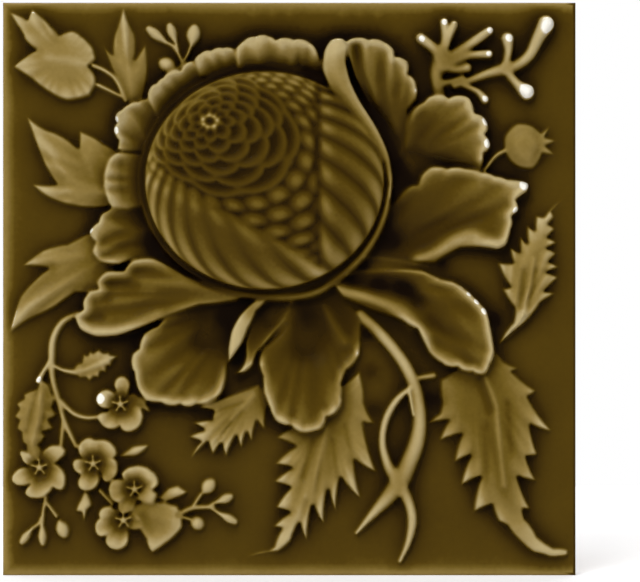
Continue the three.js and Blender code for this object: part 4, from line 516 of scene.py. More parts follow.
# The sprigs under the blossoms and to their right, pressed with the tile: forked stalks that end in round
# and long buds.
twig([[-29.4, -60, 0.9, 1.9], [-25.6, -58.2, 0.8, 1.9], [-20, -58, 0.6, 1.8]], SPRIG_TONE)
bud([[-25.4, -57.6], [-23.4, -54.6]], [-22.6, -53.8], [-20.7, -51.6], 2, SPRIG_TONE)
bud([[-21.6, -57.9], [-19, -56.4]], [-19, -56.6], [-15.6, -55.2], 1.4, SPRIG_TONE)
bud([[-21, -58], [-18.6, -59.6]], [-18.6, -59.6], [-14.4, -61.8], 1.3, SPRIG_TONE)
bud([[-28.4, -60.6], [-26.4, -61.2]], [-25.4, -61.6], [-23.8, -62.6], 1.95, SPRIG_TONE)
twig([[-64.6, -55.4, 0.7, 1.9], [-65.3, -59, 0.6, 1.8], [-65.5, -62, 0.6, 1.8]], SPRIG_TONE)
bud([[-65.4, -60], [-65.6, -62.6]], [-65.6, -62.6], [-65.5, -67.4], 1.35, SPRIG_TONE)
bud([[-65.8, -60.8], [-66.6, -62.4], [-68.2, -63.6]], [-68.4, -63.8], [-71, -67.2], 1.2, SPRIG_TONE)
bud([[-64.4, -56.8], [-61.8, -60.4]], [-61, -62], [-59.8, -65], 1.95, SPRIG_TONE)

# The four toothed leaves of the lower half and the right edge, pressed with the tile: thin at the root and
# raised at the teeth, with a midrib, furrows beside it and fine veins that fan out from the root.
blade(toothed([-19, -29], [-24.6, -31.7], [-20.2, -32.6], [-20.6, -34.6], [-20.8, -34.6], [-25.7, -35.6],
    [-22.8, -37.4], [-26.8, -39.4], [-23.6, -40.6], [-26.3, -45.4], [-21.6, -40.8], [-20.2, -44.2],
    [-18, -41.2], [-16.6, -44.8], [-14, -39.2], [-12.5, -42.6], [-11.2, -38.2], [-9.8, -40.8],
    [-8.5, -35.2], [-6.3, -37.6], [-5.6, -31], [-8, -25]),
    root=[-9, -27], near=[3, 0.9], far=[17, 2.5], dome=0.2, lip=2, edge=0.9,
    folds=[([[-9.5, -28], [-15, -34.4]], 0.7, 0.4), ([[-12, -30], [-18, -32]], 0.6, -0.3),
           ([[-12.5, -32.5], [-17.5, -38]], 0.6, -0.3)],
    tones=(-0.28, -0.17), flutes=(46, 0.2))
blade(toothed([0.4, -36.6], [-3.4, -39.7], [1.5, -41.8], [-3.8, -46.7], [0.5, -47.6], [-4.1, -51.3],
    [0.1, -52.8], [-3.6, -58.2], [-0.1, -59.4], [-4.3, -63.3], [-2.2, -63.7], [-4, -68.4], [-5.6, -69.6],
    [-11.9, -71.5], [-3, -69.8], [0.8, -66.6], [2.7, -62.4], [4.9, -67.2], [6.3, -57.7], [9.4, -62.6],
    [10.4, -53.6], [12.6, -59.4], [13.8, -50.3], [19.3, -55.9], [17.5, -45.6], [23.5, -48.8],
    [19.8, -35.6], [22.8, -35.8], [20, -30], [18.7, -21.7], [10, -28], [3, -30]),
    root=[10, -33], near=[3, 0.7], far=[26, 2.5], dome=0.3, lip=2.2, edge=1,
    folds=[([[10, -36.8], [7.6, -46], [4.6, -55]], 0.9, 0.5), ([[11.6, -40], [12.4, -50]], 0.7, -0.3),
           ([[6.4, -40], [3.4, -50]], 0.7, -0.35), ([[14.8, -36], [17, -46]], 0.7, -0.3)],
    tones=(-0.27, -0.22), flutes=(46, 0.2))
blade(toothed([40.2, -24], [40.4, -30], [39.8, -33], [36.8, -36], [42.2, -35], [39.9, -40.5], [45.7, -38.7],
    [43.9, -46.2], [48, -44.4], [45.6, -52.3], [50.7, -50.1], [49, -59.4], [53.8, -57.5], [55.6, -62],
    [57.8, -63], [65, -70.2], [69, -71.2], [74.2, -70.6], [74.2, -69.3], [70.4, -68.7], [66, -65.6],
    [62.8, -61], [62.3, -58.6], [64.3, -58.4], [60.9, -50], [65.8, -51], [63.2, -44.6], [66.2, -44],
    [64.2, -36.2], [70, -37.8], [63.6, -28.7], [65.8, -27], [59.4, -22], [61, -21], [57, -19], [52, -14]),
    root=[49, -20], near=[4, 1.2], far=[32, 2.5], dome=0.3, lip=2.4, edge=1,
    folds=[([[52, -23.6], [54.8, -31], [55.6, -40], [57, -52]], 0.8, 0.65),
           ([[50.6, -24], [53.4, -32]], 1.3, -0.5), ([[58, -30], [59, -44]], 0.9, -0.3),
           ([[52, -36], [52.6, -48]], 0.9, -0.3)],
    tones=(-0.15, -0.12), flutes=(40, 0.15))
blade(toothed([55.4, -15.4], [59.4, -9], [59.7, -5], [56.6, 0.1], [58.6, 0.6], [55.4, 7.1], [59.4, 7],
    [58.6, 11.4], [61.2, 9.8], [61.5, 14.2], [63.2, 12.2], [63.3, 16.9], [65.2, 15.6], [65.7, 19.5],
    [67.7, 19.2], [73.9, 24.6], [69.7, 20.6], [70.5, 19], [69, 17.2], [70.8, 15.9], [68.8, 13.7],
    [71.3, 12.2], [68.6, 10.8], [71.2, 9.4], [69.2, 7.2], [71.8, 5.7], [68.6, 4.4], [71.6, 3], [68, -0.6],
    [70.8, -1.3], [66.8, -3.8], [61.4, -10]),
    root=[57, -14], near=[3, 2.4], far=[24, 2], cup=-0.1, dome=0.2, lip=1.7, edge=0.8,
    folds=[([[55.8, -14.9], [61.8, -7.2]], 1.1, 1), ([[61.8, -7.2], [63.6, 0.5], [64.9, 8]], 0.65, 0.55),
           ([[61.2, -5], [62.3, 5]], 0.8, -0.5), ([[63.6, -4.4], [65.6, 5]], 0.7, -0.5)],
    tones=(-0.1, -0.22), flutes=(40, 0.2))

# The main stem, the thickest round form of the relief, pressed with the rest: it bends down from the flower,
# carries a thorn and a loop, and parts into two roots.
STEM_TONE = -0.1

twig([[19, -7, 1.7, 2], [23.5, -11.2, 1.8, 2.6], [27.6, -15.8, 1.8, 2.8], [31.4, -21.4, 1.9, 3],
    [33.9, -28, 2, 3], [34.7, -35, 2.1, 3.1], [33.8, -41, 2.4, 3.1], [31.6, -46.6, 2.6, 3.1],
    [29.4, -51, 2.9, 3], [27, -54.5, 2.4, 2.8], [22, -60, 1.3, 2.6], [17.8, -64.9, 0.4, 2.2]], STEM_TONE)
twig([[34.6, -23.6, 0.8, 2.2], [38.4, -23, 0.9, 1.8]], STEM_TONE)
twig([[30, -53, 2, 2.8], [32, -57.4, 1.6, 2.8], [32.7, -62, 1.5, 2.8], [31.6, -67.4, 1, 2.6],
    [29.4, -72.3, 0.5, 2.2]], STEM_TONE)
twig([[32.2, -26.2, 0.9, 3.1], [28.4, -29.8, 1.1, 3.1], [25.6, -35, 1.15, 3], [24.8, -41, 1.2, 3],
    [26.2, -46.6, 1.6, 3], [28.6, -50.6, 2.2, 2.9]], STEM_TONE)
twig([[31.8, -27, 0.7, 3.4], [32.9, -33.4, 0.5, 3.2]], STEM_TONE)

# The branching sprig at the upper right, pressed deeper than the other stalks: its twigs thicken to club
# ends, which stand the highest, so the glaze runs off them.
CLUB_TONE = -0.06

twig([[44, 54, 1.2, 2.6], [48, 55.4, 1.2, 2.6], [52.6, 57.2, 1.4, 2.8], [57, 58.4, 1.9, 3],
    [60.4, 59.4, 1.7, 3.2], [63.8, 62.2, 1.7, 3.6], [66.2, 66.8, 2, 4.2], [68.2, 70.4, 2.4, 4.8]],
    CLUB_TONE)
twig([[57.4, 59, 1.5, 3], [58.2, 63, 1.4, 3.4], [58, 66.4, 1.9, 4]], CLUB_TONE)
twig([[57.8, 57.8, 1.5, 3], [60.6, 54.4, 1.5, 3.4], [63, 52.4, 2.3, 4.4]], CLUB_TONE)
twig([[46.6, 54, 1, 2.6], [50, 52.4, 1.1, 2.8], [51.8, 50.4, 1.4, 3]], CLUB_TONE)
twig([[40, 51.4, 1.8, 2.2], [39.2, 57, 2, 2.6], [40.6, 61, 2.9, 3], [38.8, 63.6, 1.8, 3.2],
    [35, 66.6, 1.5, 4]], CLUB_TONE)
twig([[40.6, 61.6, 2.2, 3], [41.4, 66, 1.5, 3.4], [41.2, 70.8, 1.3, 4]], CLUB_TONE)
twig([[41.6, 65, 1.4, 3.4], [43.8, 70.2, 1.2, 4]], CLUB_TONE)
twig([[42, 61, 2, 3], [46.4, 63.8, 1.7, 3.2], [50.4, 66.6, 1.5, 3.8], [53.2, 68.6, 1.2, 4]], CLUB_TONE)
twig([[43, 60, 2, 3], [47.6, 62, 1.4, 3.2], [53, 62.4, 1.3, 3.8]], CLUB_TONE)
twig([[41, 59.6, 2, 3], [44, 58.2, 1.2, 3], [47.2, 58.8, 1.6, 3.4]], CLUB_TONE)
twig([[39.6, 54.4, 1.3, 2.4], [43, 55, 1.1, 2.4], [46, 56, 1.2, 2.6]], CLUB_TONE)

# The round fruit under it on its thin stalk, pressed with the tile: a smooth ball in low relief, with a
# crown of small teeth.
FRUIT_STALK_TONE = -0.25

twig([[52, 31.6, 0.7, 2.2], [55, 35.4, 0.65, 2], [58.4, 37.2, 0.8, 2]], FRUIT_STALK_TONE)
blade([[57, 40.4, 0.16], [60.4, 44, 0.18], [65.2, 43.2, 0.05], [67, 41.6], [69.4, 43.4], [68.2, 40.4],
    [71.2, 39.4], [68.4, 38], [70.8, 35.6], [67.4, 35.8, 0.14], [65, 32, 0.2], [60, 32.6, 0.16],
    [57.2, 36.2, 0.14]],
    root=[62, 38], near=[0, 2.4], far=[8, 1.6], dome=0.7, lip=3, edge=1,
    folds=[([[65.4, 42.6], [66.2, 38.6], [65, 33.4]], 1, -0.2)],
    tones=(0, -0.16), rim=0.25)

# The ruff of frilled petals behind the flower head, laid one over the next in the tile's clay.  The glaze
# is thin on the rims, which show the pale body, and pools in the claws.
RUFF_RIM = 0.17

blade([[-37, 9], [-44, 8.4, 0.1], [-50, 11, 0.1], [-51, 16, 0.1], [-47.4, 22, 0.05], [-47.6, 33, 0.05],
    [-44.2, 38, 0.05], [-44.6, 45, 0.15], [-38, 49], [-34.6, 53.6], [-28.6, 57.6, 0.05], [-22, 61, 0.05],
    [-13, 63.4, 0.05], [-4, 65, 0.1], [6, 64], [9, 58], [-8, 50], [-30, 40], [-36, 20]],
    root=[-7, 28.5], near=[33, 0.4], far=[43, 3.4], lip=2, tones=(-0.05, 0), rim=RUFF_RIM)
blade([[-40, 8], [-45, 6.1, 0.05], [-50.2, 7, 0.15], [-52.3, 9.8, 0.12], [-51.6, 12.4, 0.18],
    [-53.2, 15.2, 0.18], [-50.9, 17.9, 0.12], [-49.8, 20.3, 0.12], [-47.4, 21.2, 0.05], [-42, 20.9],
    [-37, 22], [-31, 10], [-34, 8]],
    root=[-7, 28.5], near=[33.5, 0.2], far=[46, 4.6], cup=0.9, lip=2,
    folds=[([[-49, 18], [-44, 16], [-38, 15.5]], 1.2, 0.35), ([[-50, 12], [-44, 11.5], [-39, 12]], 1, -0.3)],
    tones=(-0.05, 0.02), rim=RUFF_RIM, flutes=(52, 0.4))
blade([[-45.6, 36.4, 0.1], [-47.7, 34.9, 0.12], [-49, 31.5, 0.12], [-49.3, 28, 0.12], [-48.6, 24.3, 0.1],
    [-47.3, 21.5], [-43, 20.9], [-37, 22], [-37, 36]],
    root=[-7, 28.5], near=[33, 1.4], far=[42.5, 4.4], cup=0.5,
    folds=[([[-44.5, 34], [-44.6, 29], [-44, 24]], 0.8, -0.3)],
    tones=(-0.2, -0.16), rim=RUFF_RIM, flutes=(58, 0.45))
blade([[-45.8, 36.6, 0.1], [-45.5, 39.3, 0.15], [-46.8, 42.4, 0.2], [-46, 44, 0.2], [-46.3, 46.2, 0.2],
    [-44.6, 47.8, 0.15], [-42.6, 49.3, 0.15], [-40.2, 50, 0.15], [-37.6, 50.8], [-33, 48], [-37, 36]],
    root=[-7, 28.5], near=[33, 1.3], far=[43, 4.6], cup=0.7, lip=2,
    folds=[([[-42, 46], [-40, 43], [-38.5, 40]], 0.9, 0.3), ([[-43.5, 41], [-41, 39.5]], 0.9, -0.3)],
    tones=(-0.2, -0.12), rim=RUFF_RIM, flutes=(56, 0.45))
blade([[-37.9, 50.6, 0.15], [-37.4, 53.2, 0.22], [-35.4, 54.8, 0.22], [-33.6, 56.3, 0.22],
    [-31.5, 58, 0.22], [-29, 58.3, 0.15], [-28, 59.8, 0.22], [-25.4, 60.8], [-22, 56], [-30, 50],
    [-35, 45]],
    root=[-7, 28.5], near=[31.5, 1.2], far=[38.5, 4.8], cup=0.2, tones=(-0.2, -0.12), rim=RUFF_RIM,
    flutes=(52, 0.35))
blade([[-25.6, 60.7, 0.15], [-23.7, 62.8, 0.25], [-20.8, 63.6, 0.25], [-17.6, 64.3, 0.2], [-14.3, 64],
    [-12, 58], [-18, 56], [-24, 56]],
    root=[-7, 28.5], near=[29.5, 1.1], far=[36.5, 4.8], cup=0.2, tones=(-0.3, 0), rim=RUFF_RIM,
    flutes=(52, 0.35))
blade([[-14.5, 63.9, 0.1], [-12.2, 66.2, 0.2], [-9, 67.3, 0.2], [-5.4, 67.5, 0.12], [-3.4, 66.5, 0.22],
    [1.3, 66.5, 0.22], [5.6, 65.7, 0.15], [7.9, 63.2, 0.05], [9.3, 59], [12, 50], [0, 52], [-8, 55],
    [-14, 57]],
    root=[-2, 30], near=[25, 0.2], far=[35.5, 4.8], cup=0.5, lip=2.4, crease=5,
    folds=[([[-8.5, 64], [-8, 60.5]], 1.2, 0.3), ([[-1.3, 64.5], [0, 60]], 1.2, 0.5),
           ([[2, 65], [2.6, 59.5]], 0.7, -0.4), ([[5, 63], [4.5, 58]], 1, -0.5)],
    tones=(-0.4, -0.1), rim=RUFF_RIM, flutes=(40, 0.3))

# The plume and the three great fans at the right, the widest petals, pressed with the tile: each is hollow
# inside a raised lip, with some edges rolled, and the glaze pools at its root.
PETAL_RIM = 0.12

blade([[14.5, 65.5, 0.05], [15.6, 66.4, 0.22], [21.1, 66.5, 0.2], [25.3, 65.9, 0.15], [28.3, 63.2, 0.1],
    [28.4, 62, 0.18], [31.9, 60.3, 0.15], [32, 57.2, 0.22], [34.2, 54.2, 0.1], [34.2, 50.3, 0.05],
    [31.8, 47.5], [31, 38], [28, 30], [26, 38], [21, 48], [17, 56], [15, 62]],
    root=[27, 28], near=[12, 0.4], far=[36, 5.2], cup=1, lip=2.4, crease=7,
    folds=[([[17.6, 64], [18, 58], [20, 52], [24, 45], [27.5, 38]], 1.6, -1.3),
           ([[20, 64.5], [20.3, 58], [23, 50]], 1, 0.5), ([[27, 60.5], [26.5, 53], [28, 44]], 1.1, 0.35),
           ([[31.5, 55.5], [29.5, 49], [29, 42]], 1.1, 0.4), ([[24.5, 62], [24.2, 56]], 1.4, -0.35),
           ([[29.5, 58], [28.3, 52]], 1.2, -0.3)],
    tones=(0.1, -0.1), rim=PETAL_RIM, flutes=(34, 0.25))
blade([[30.5, 37], [30.6, 44, 0.08], [32.3, 47.6, 0.12], [35.4, 49.8, 0.05], [37, 51.4, 0.22],
    [42.4, 51.1, 0.25], [48, 51, 0.12], [49.6, 46.9, 0.05], [51.2, 46.3, 0.25], [53.1, 42.2, 0.05],
    [52.4, 41, 0.25], [53.5, 37.3, 0.1], [52, 35.8, 0.08], [51.2, 31], [44, 29], [34, 30]],
    root=[24, 30], near=[10, 0.9], far=[31, 4.6], cup=1, lip=2.6, crease=6,
    folds=[([[33, 47], [32.5, 42], [31, 38]], 1.3, 0.4), ([[30, 33], [38, 31.6], [51, 30.6]], 3.6, -2.4),
           ([[41, 50], [40, 45], [36, 38]], 1.4, 0.25), ([[48, 45], [43, 40], [36, 35]], 1.4, 0.2)],
    tones=(0.2, -0.16), rim=PETAL_RIM, flutes=(38, 0.2))
blade([[14.5, 3], [20, 9.5], [26.6, 22.3, 0.02], [29, 24.8, 0.1], [31.3, 27.2, 0.12], [33.9, 27.9, 0.02],
    [34.8, 30.3, 0.1], [37.4, 32.7, 0.12], [42, 32.4, 0.14], [46.8, 32.3, 0.06], [51, 31.4, 0.1],
    [54.9, 30.3, 0.08], [58, 29.4, 0.05], [61.2, 29, 0.12], [63.7, 28, 0.3], [62.6, 25.2, -0.03],
    [60.6, 23.5, 0.25], [60.9, 20.7, 0.05], [59.4, 19.2, 0.2], [59.2, 15.8, 0.05], [57.9, 11.6, 0.15],
    [55, 10.3, -0.06], [45.6, 10.7, -0.05], [39, 6.8, 0.05], [33, 7.2, 0.03], [25, 8], [20, 7]],
    root=[13, 3], near=[13, 0.3], far=[50, 4.4], cup=1.1, lip=2.6, crease=5,
    folds=[([[34.5, 8.3], [39, 10], [43, 12.8], [47.5, 14.4], [51, 13.6], [55, 11.6]], 1.8, 1.4),
           ([[30, 18], [40, 24], [50, 27.5]], 2.2, 0.35),
           ([[28, 12], [38, 17], [50, 19], [57, 18]], 2, -0.35),
           ([[60, 27], [52, 25], [42, 21], [32, 15]], 1.6, 0.25)],
    tones=(0.28, -0.09), rim=PETAL_RIM, flutes=(44, 0.2))
blade([[11, 1.6], [15.5, 3.4, 0.02], [22, 4.4, 0.02], [29, 5.5, 0.06], [36, 5, -0.03], [39.5, 3.3, -0.03],
    [43.5, 2.3, 0.08], [48.3, -1, 0.02], [52.2, -5, 0.12], [53.7, -9.5, 0.02], [54.8, -16, 0.12],
    [53.6, -20, 0.1], [52.3, -22.6, 0.25], [48.5, -22.2, 0.2], [44.6, -21.1, 0.2], [40.2, -20, 0.1],
    [36.6, -16.8, -0.02], [33.7, -10.8, 0.08], [30, -8.7, -0.03], [22, -6.1, -0.02], [14, -2.4]],
    root=[12, 1], near=[9, 0.5], far=[45, 4.6], cup=1.2, lip=2.4, crease=4,
    folds=[([[13, -0.3], [20, -2.2], [28, -4.6], [32, -8], [35, -13]], 2.8, 2.4),
           ([[17, 2], [24, 1.8], [31, 0.2], [34, -3]], 2, -1.2),
           ([[36, 0], [44, -6], [50, -14]], 1.8, 0.35), ([[38, -8], [45, -15], [48, -20]], 1.8, -0.3)],
    tones=(0.26, -0.04), rim=PETAL_RIM, flutes=(40, 0.2))

# The petals below the head, in the same clay: a tongue and a fan at the left, then a curl, a ribbon and an
# apron in the middle, each laid over the one before it.
blade([[-10, -1.5], [-20, 0.6, 0.02], [-27.5, 4, 0.03], [-32, 6.6, 0.06], [-36.2, 8.5, 0.08],
    [-41.3, 8.1, 0.15], [-44, 5.2, 0.05], [-48.2, 5, 0.15], [-51.2, 2, 0.12], [-50.9, 0.2],
    [-53, -0.3, 0.15], [-54.9, -3, 0.15], [-54.9, -5.2, 0.05], [-57, -7, 0.18], [-55.5, -11, 0.12],
    [-51, -12.9, 0.05], [-45, -12.5, 0.02], [-39, -10.5, 0.02], [-33, -8], [-24, -5], [-14, -3.4]],
    root=[-8, -1], near=[8, 2.2], far=[42, 4.4], cup=1.5, lip=3,
    folds=[([[-15, -1.2], [-24, 0.4], [-30, 1.5], [-38, 1]], 1.8, 0.7),
           ([[-30, 5.2], [-37, 5.8], [-41, 5.2]], 1.7, -0.6),
           ([[-36, -1.5], [-44, -3.5], [-50, -3.5]], 1.5, 0.3), ([[-43, 2.4], [-48, 2]], 1.4, -0.7),
           ([[-48, -2.8], [-53, -3]], 1.4, -0.6), ([[-50, -7.5], [-54.5, -8]], 1.3, -0.7),
           ([[-35, -6.5], [-43, -9.5], [-50, -10.8]], 1.5, 0.5)],
    tones=(0.02, -0.05), rim=PETAL_RIM, flutes=(40, 0.2))
blade([[-9, -3], [-24, -4], [-33, -7], [-35.2, -9.6, 0.1], [-38.8, -11.6, 0.1], [-40.1, -15.6, 0.02],
    [-41.7, -16.9, 0.25], [-41.4, -22.3, 0.06], [-40.6, -26.5, 0.1], [-38, -30, 0.05], [-34, -30.5, 0.22],
    [-29, -31, 0.25], [-24.6, -31, 0.15], [-20.5, -30.2, 0.12], [-17.2, -27.2, 0.08], [-16.2, -22, 0.02],
    [-15.8, -16], [-14.5, -10]],
    root=[-12, -3.5], near=[9, 0.1], far=[29, 4.2], cup=1.1, lip=2.6, crease=4,
    folds=[([[-15, -6], [-20, -9.5], [-23, -14]], 3.2, -1.2),
           ([[-22, -17], [-29, -21], [-36, -24]], 1.8, 0.25),
           ([[-24, -10], [-31, -14], [-37, -18]], 1.8, 0.3),
           ([[-18, -17], [-21, -23], [-22, -28]], 1.5, 0.2)],
    tones=(0.26, -0.05), rim=PETAL_RIM, flutes=(36, 0.2))
blade([[-7.5, -3.2], [-0.8, -3.4], [-1.2, -8, 0.02], [-4.6, -13, 0.02], [-8.2, -17], [-9.3, -20.3, 0.1],
    [-11.6, -22.3, 0.12], [-14.6, -22.4, -0.15], [-12.7, -20.6, -0.12], [-11.8, -17.5], [-11.9, -14],
    [-10.4, -9.5], [-8.8, -6]],
    root=[-4, -4], near=[2, 0.3], far=[18, 3.4], cup=0.5, lip=1.6, edge=0.9,
    folds=[([[-3.8, -5.5], [-5, -9]], 2.2, -0.8), ([[-10, -19.5], [-12.5, -21.4], [-14, -21.9]], 0.7, 0.5)],
    tones=(0.14, 0.2), rim=PETAL_RIM)
blade([[-5.2, -2.6, 0.02], [-8.4, -6, 0.04], [-10.5, -10.4, 0.03], [-12, -14.3, 0.03], [-14.8, -18.3],
    [-16.2, -19.8, 0.02], [-16.4, -16, 0.04], [-15.6, -11.2, 0.06], [-13.4, -7, 0.05],
    [-10.4, -3.8, 0.03], [-8.5, -2.4]],
    root=[-6, -3], near=[2, 3], far=[18, 4.8], cup=-0.35, lip=1.8, edge=0.8, tones=(-0.15, 0.1),
    rim=PETAL_RIM)
blade([[1.7, -3], [0.6, -7.5, 0.06], [-2.3, -11.5, -0.02], [-6.6, -15.2, 0.12], [-8.4, -19.2, 0.1],
    [-7.3, -23.2, 0.02], [-7.1, -27.5, 0.02], [-5.5, -31.6, 0.08], [-3.9, -35.2, 0.15],
    [0.2, -36.6, 0.12], [3.6, -38.4, 0.12], [8.9, -37.2, 0.12], [10.2, -34.2, 0.15], [13.3, -32.3, 0.22],
    [14.3, -28.6, 0.1], [14.2, -25.2, -0.02], [15.6, -21.6, 0.12], [18.4, -18.7, 0.14],
    [19.2, -13.3, 0.05], [19.3, -9.3, 0.1], [17.2, -5, 0.02], [13, -2.2], [6, -2.4]],
    root=[6, -2], near=[4, 0.1], far=[34, 4.4], cup=1, lip=2.6, crease=5,
    folds=[([[5.5, -4], [5.2, -10], [4.4, -16]], 3.6, -1.2),
           ([[9, -4.5], [11.5, -9], [14.5, -14]], 1.5, 0.9),
           ([[1.8, -9], [-2, -15], [-4.5, -20]], 1.5, 0.25),
           ([[12, -14], [11, -22], [11.5, -29]], 1.6, 0.2), ([[0, -20], [2, -28], [3, -34]], 1.8, 0.15)],
    tones=(0.26, -0.03), rim=PETAL_RIM, flutes=(34, 0.2))

# The narrow calyx round the foot of the flower head: a thin round roll of the same clay, its glaze darkened
# by painted shade under the head.
CALYX_SHADE_TONE = 0.3

twig([[-23, 1.6, 0.8, 2.6], [-13.5, -1.2, 1.2, 3], [-3.5, -2.2, 1.3, 3.2], [5.6, -1.3, 1.3, 3.2],
    [11.6, 1.8, 1.3, 3.4], [18.4, 7.6, 1.3, 3.6], [23, 14, 1.3, 3.8], [25.6, 20.6, 1.2, 4],
    [26.6, 26.5, 0.8, 4.2]], CALYX_SHADE_TONE)

# The flower head, the highest form the mould gives: a dome whose pattern is laid out as on a globe with its
# pole up and to the left.  Rows of scalloped petals close round the pole, then come beads inside a V and
# fingers outside it.
HEAD = (-6.5, 28.8)
HEAD_HALF = (32.0, 29.2)
HEAD_FOOT = 3.6
HEAD_EDGE = 0.985
COLLAR_REACH = 1.065               # the low shelf round the head, in half widths of the head
COLLAR_HEIGHT = 2.3
COLLAR_TONE = 0.12
PATTERN_SOFT = 0.18                # how far the pattern's own edges are rounded
PATTERN_SHARE = 0.75
HEAD_TONE = 0.03
ROSETTE_TONE = 0.07
RIM_TONE = -0.1
CREST_TONES = (0.13, 0.17)         # glaze drawn off the crests everywhere, and more on petals and beads
POLE = np.array([-0.45, 0.53, 0.72])
POLE = POLE / np.linalg.norm(POLE)
POLE_EAST = np.array([0.53, 0.45, 0]) / np.hypot(0.53, 0.45)
POLE_NORTH = np.cross(POLE, POLE_EAST)
ROSETTE_ANGLE = 41.0
ROSETTE_ROWS = 7
ROSETTE_SCALLOPS = 9
ROSETTE_SWELL = 0.3
ROSETTE_DEPTH = 1.0
ROSETTE_STRETCH = 0.2
ROSETTE_LEAN = -80.0
ROW_STAGGER = 0.62
STAMENS = 7
STAMEN_RING = 3.7                  # degrees from the pole
STAMEN_WIDTH = 1.25
STAMEN_HEIGHT = 0.7
# The stamens come out nearly white: thin glaze on the crown's highest points, and a painted highlight.
STAMEN_THIN_AND_HIGHLIGHT = -0.8
MERIDIANS = 26
BEAD_PITCH = 8.2
BEAD_DEPTH = 1.1
BEAD_LEAN = 0.12
FINGER_DEPTH = 0.9
FINGER_RIM_DEPTH = 0.7
KNUCKLE = 0.6
GROOVE_DEPTH = 0.55
GROOVE_WIDTH = 0.9
V_RIGHT = 7.8
V_LEFT = (-33.0, 29.0, -22 / 41)
V_BLEND = 1.2


def blurred(field, reach):
    """The field averaged with a bell-shaped weight, e^-(distance^2 / 2 reach^2), its edge carried on."""
    margin = int(np.ceil(3 * reach / PITCH))
    padded = np.pad(field, margin, mode="edge")
    waves = [np.fft.fftfreq(padded.shape[0])[:, None], np.fft.rfftfreq(padded.shape[1])[None]]
    damp = np.exp(-2 * (np.pi * reach / PITCH) ** 2 * (waves[0] ** 2 + waves[1] ** 2))
    out = np.fft.irfft2(np.fft.rfft2(padded) * damp, s=padded.shape)
    return out[margin:-margin, margin:-margin]


def rosette_height(angle, turn):
    """Scalloped rows one over the next: each sinks from its edge to the root of the row inside it."""
    row_pitch = ROSETTE_ANGLE / ROSETTE_ROWS
    rise = np.full(angle.shape, -ROSETTE_DEPTH)
    for row in reversed(range(ROSETTE_ROWS)):
        inward = (row_edge(row, turn) - angle) / row_pitch
        rise = mixed(rise, -ROSETTE_DEPTH * smooth((inward - 0.2) / 1.05), smooth(inward / 0.16))
    return rise


def stamen_bump(angle, turn):
    """1 on each stamen of the ring, falling off as e^-(distance / half width)^2."""
    u, v = angle * np.cos(np.radians(turn)), angle * np.sin(np.radians(turn))
    ring = 2 * np.pi * (np.arange(STAMENS) + 0.2) / STAMENS
    return sum(np.exp(-((u - STAMEN_RING * np.cos(k)) ** 2 + (v - STAMEN_RING * np.sin(k)) ** 2)
                      / STAMEN_WIDTH**2) for k in ring)


def row_edge(row, turn):
    """The angle of a row's edge: bowed out between notches by the root of |sine|."""
    lobe = np.abs(np.sin(np.radians(turn) / 2 * ROSETTE_SCALLOPS + row * ROW_STAGGER * np.pi))
    return ROSETTE_ANGLE / ROSETTE_ROWS * (row + 1 - ROSETTE_SWELL + 2 * ROSETTE_SWELL * np.sqrt(lobe))


def bead_height(angle, turn):
    """Rounded beads in rows, each row set half a bead round from the next."""
    row = (angle - ROSETTE_ANGLE) / BEAD_PITCH
    along = row - np.floor(row) - 0.5 - BEAD_LEAN
    column = turn / 360 * MERIDIANS + (np.floor(row) % 2) * 0.5
    sideways = column - np.floor(column) - 0.5
    return -BEAD_DEPTH * clamped(3 * sideways**2 + 2.4 * along**2)


def finger_height(turn, rim, outside, leftward):
    """Fingers along the meridians, round across, their creases deepest at the rim, a knuckle at the V.
    To the left of the V they run together away from the rim."""
    column = turn / 360 * MERIDIANS
    sideways = 2 * np.abs(column - np.floor(column) - 0.5)
    parted = 1 - 0.85 * leftward * (1 - smooth((rim - 0.5) / 0.42))
    crease = (FINGER_DEPTH + FINGER_RIM_DEPTH * rim**6) * sideways**2.2 * parted
    return KNUCKLE * (1 - sideways) * np.exp(-(((outside - 2.4) / 1.6) ** 2)) - crease


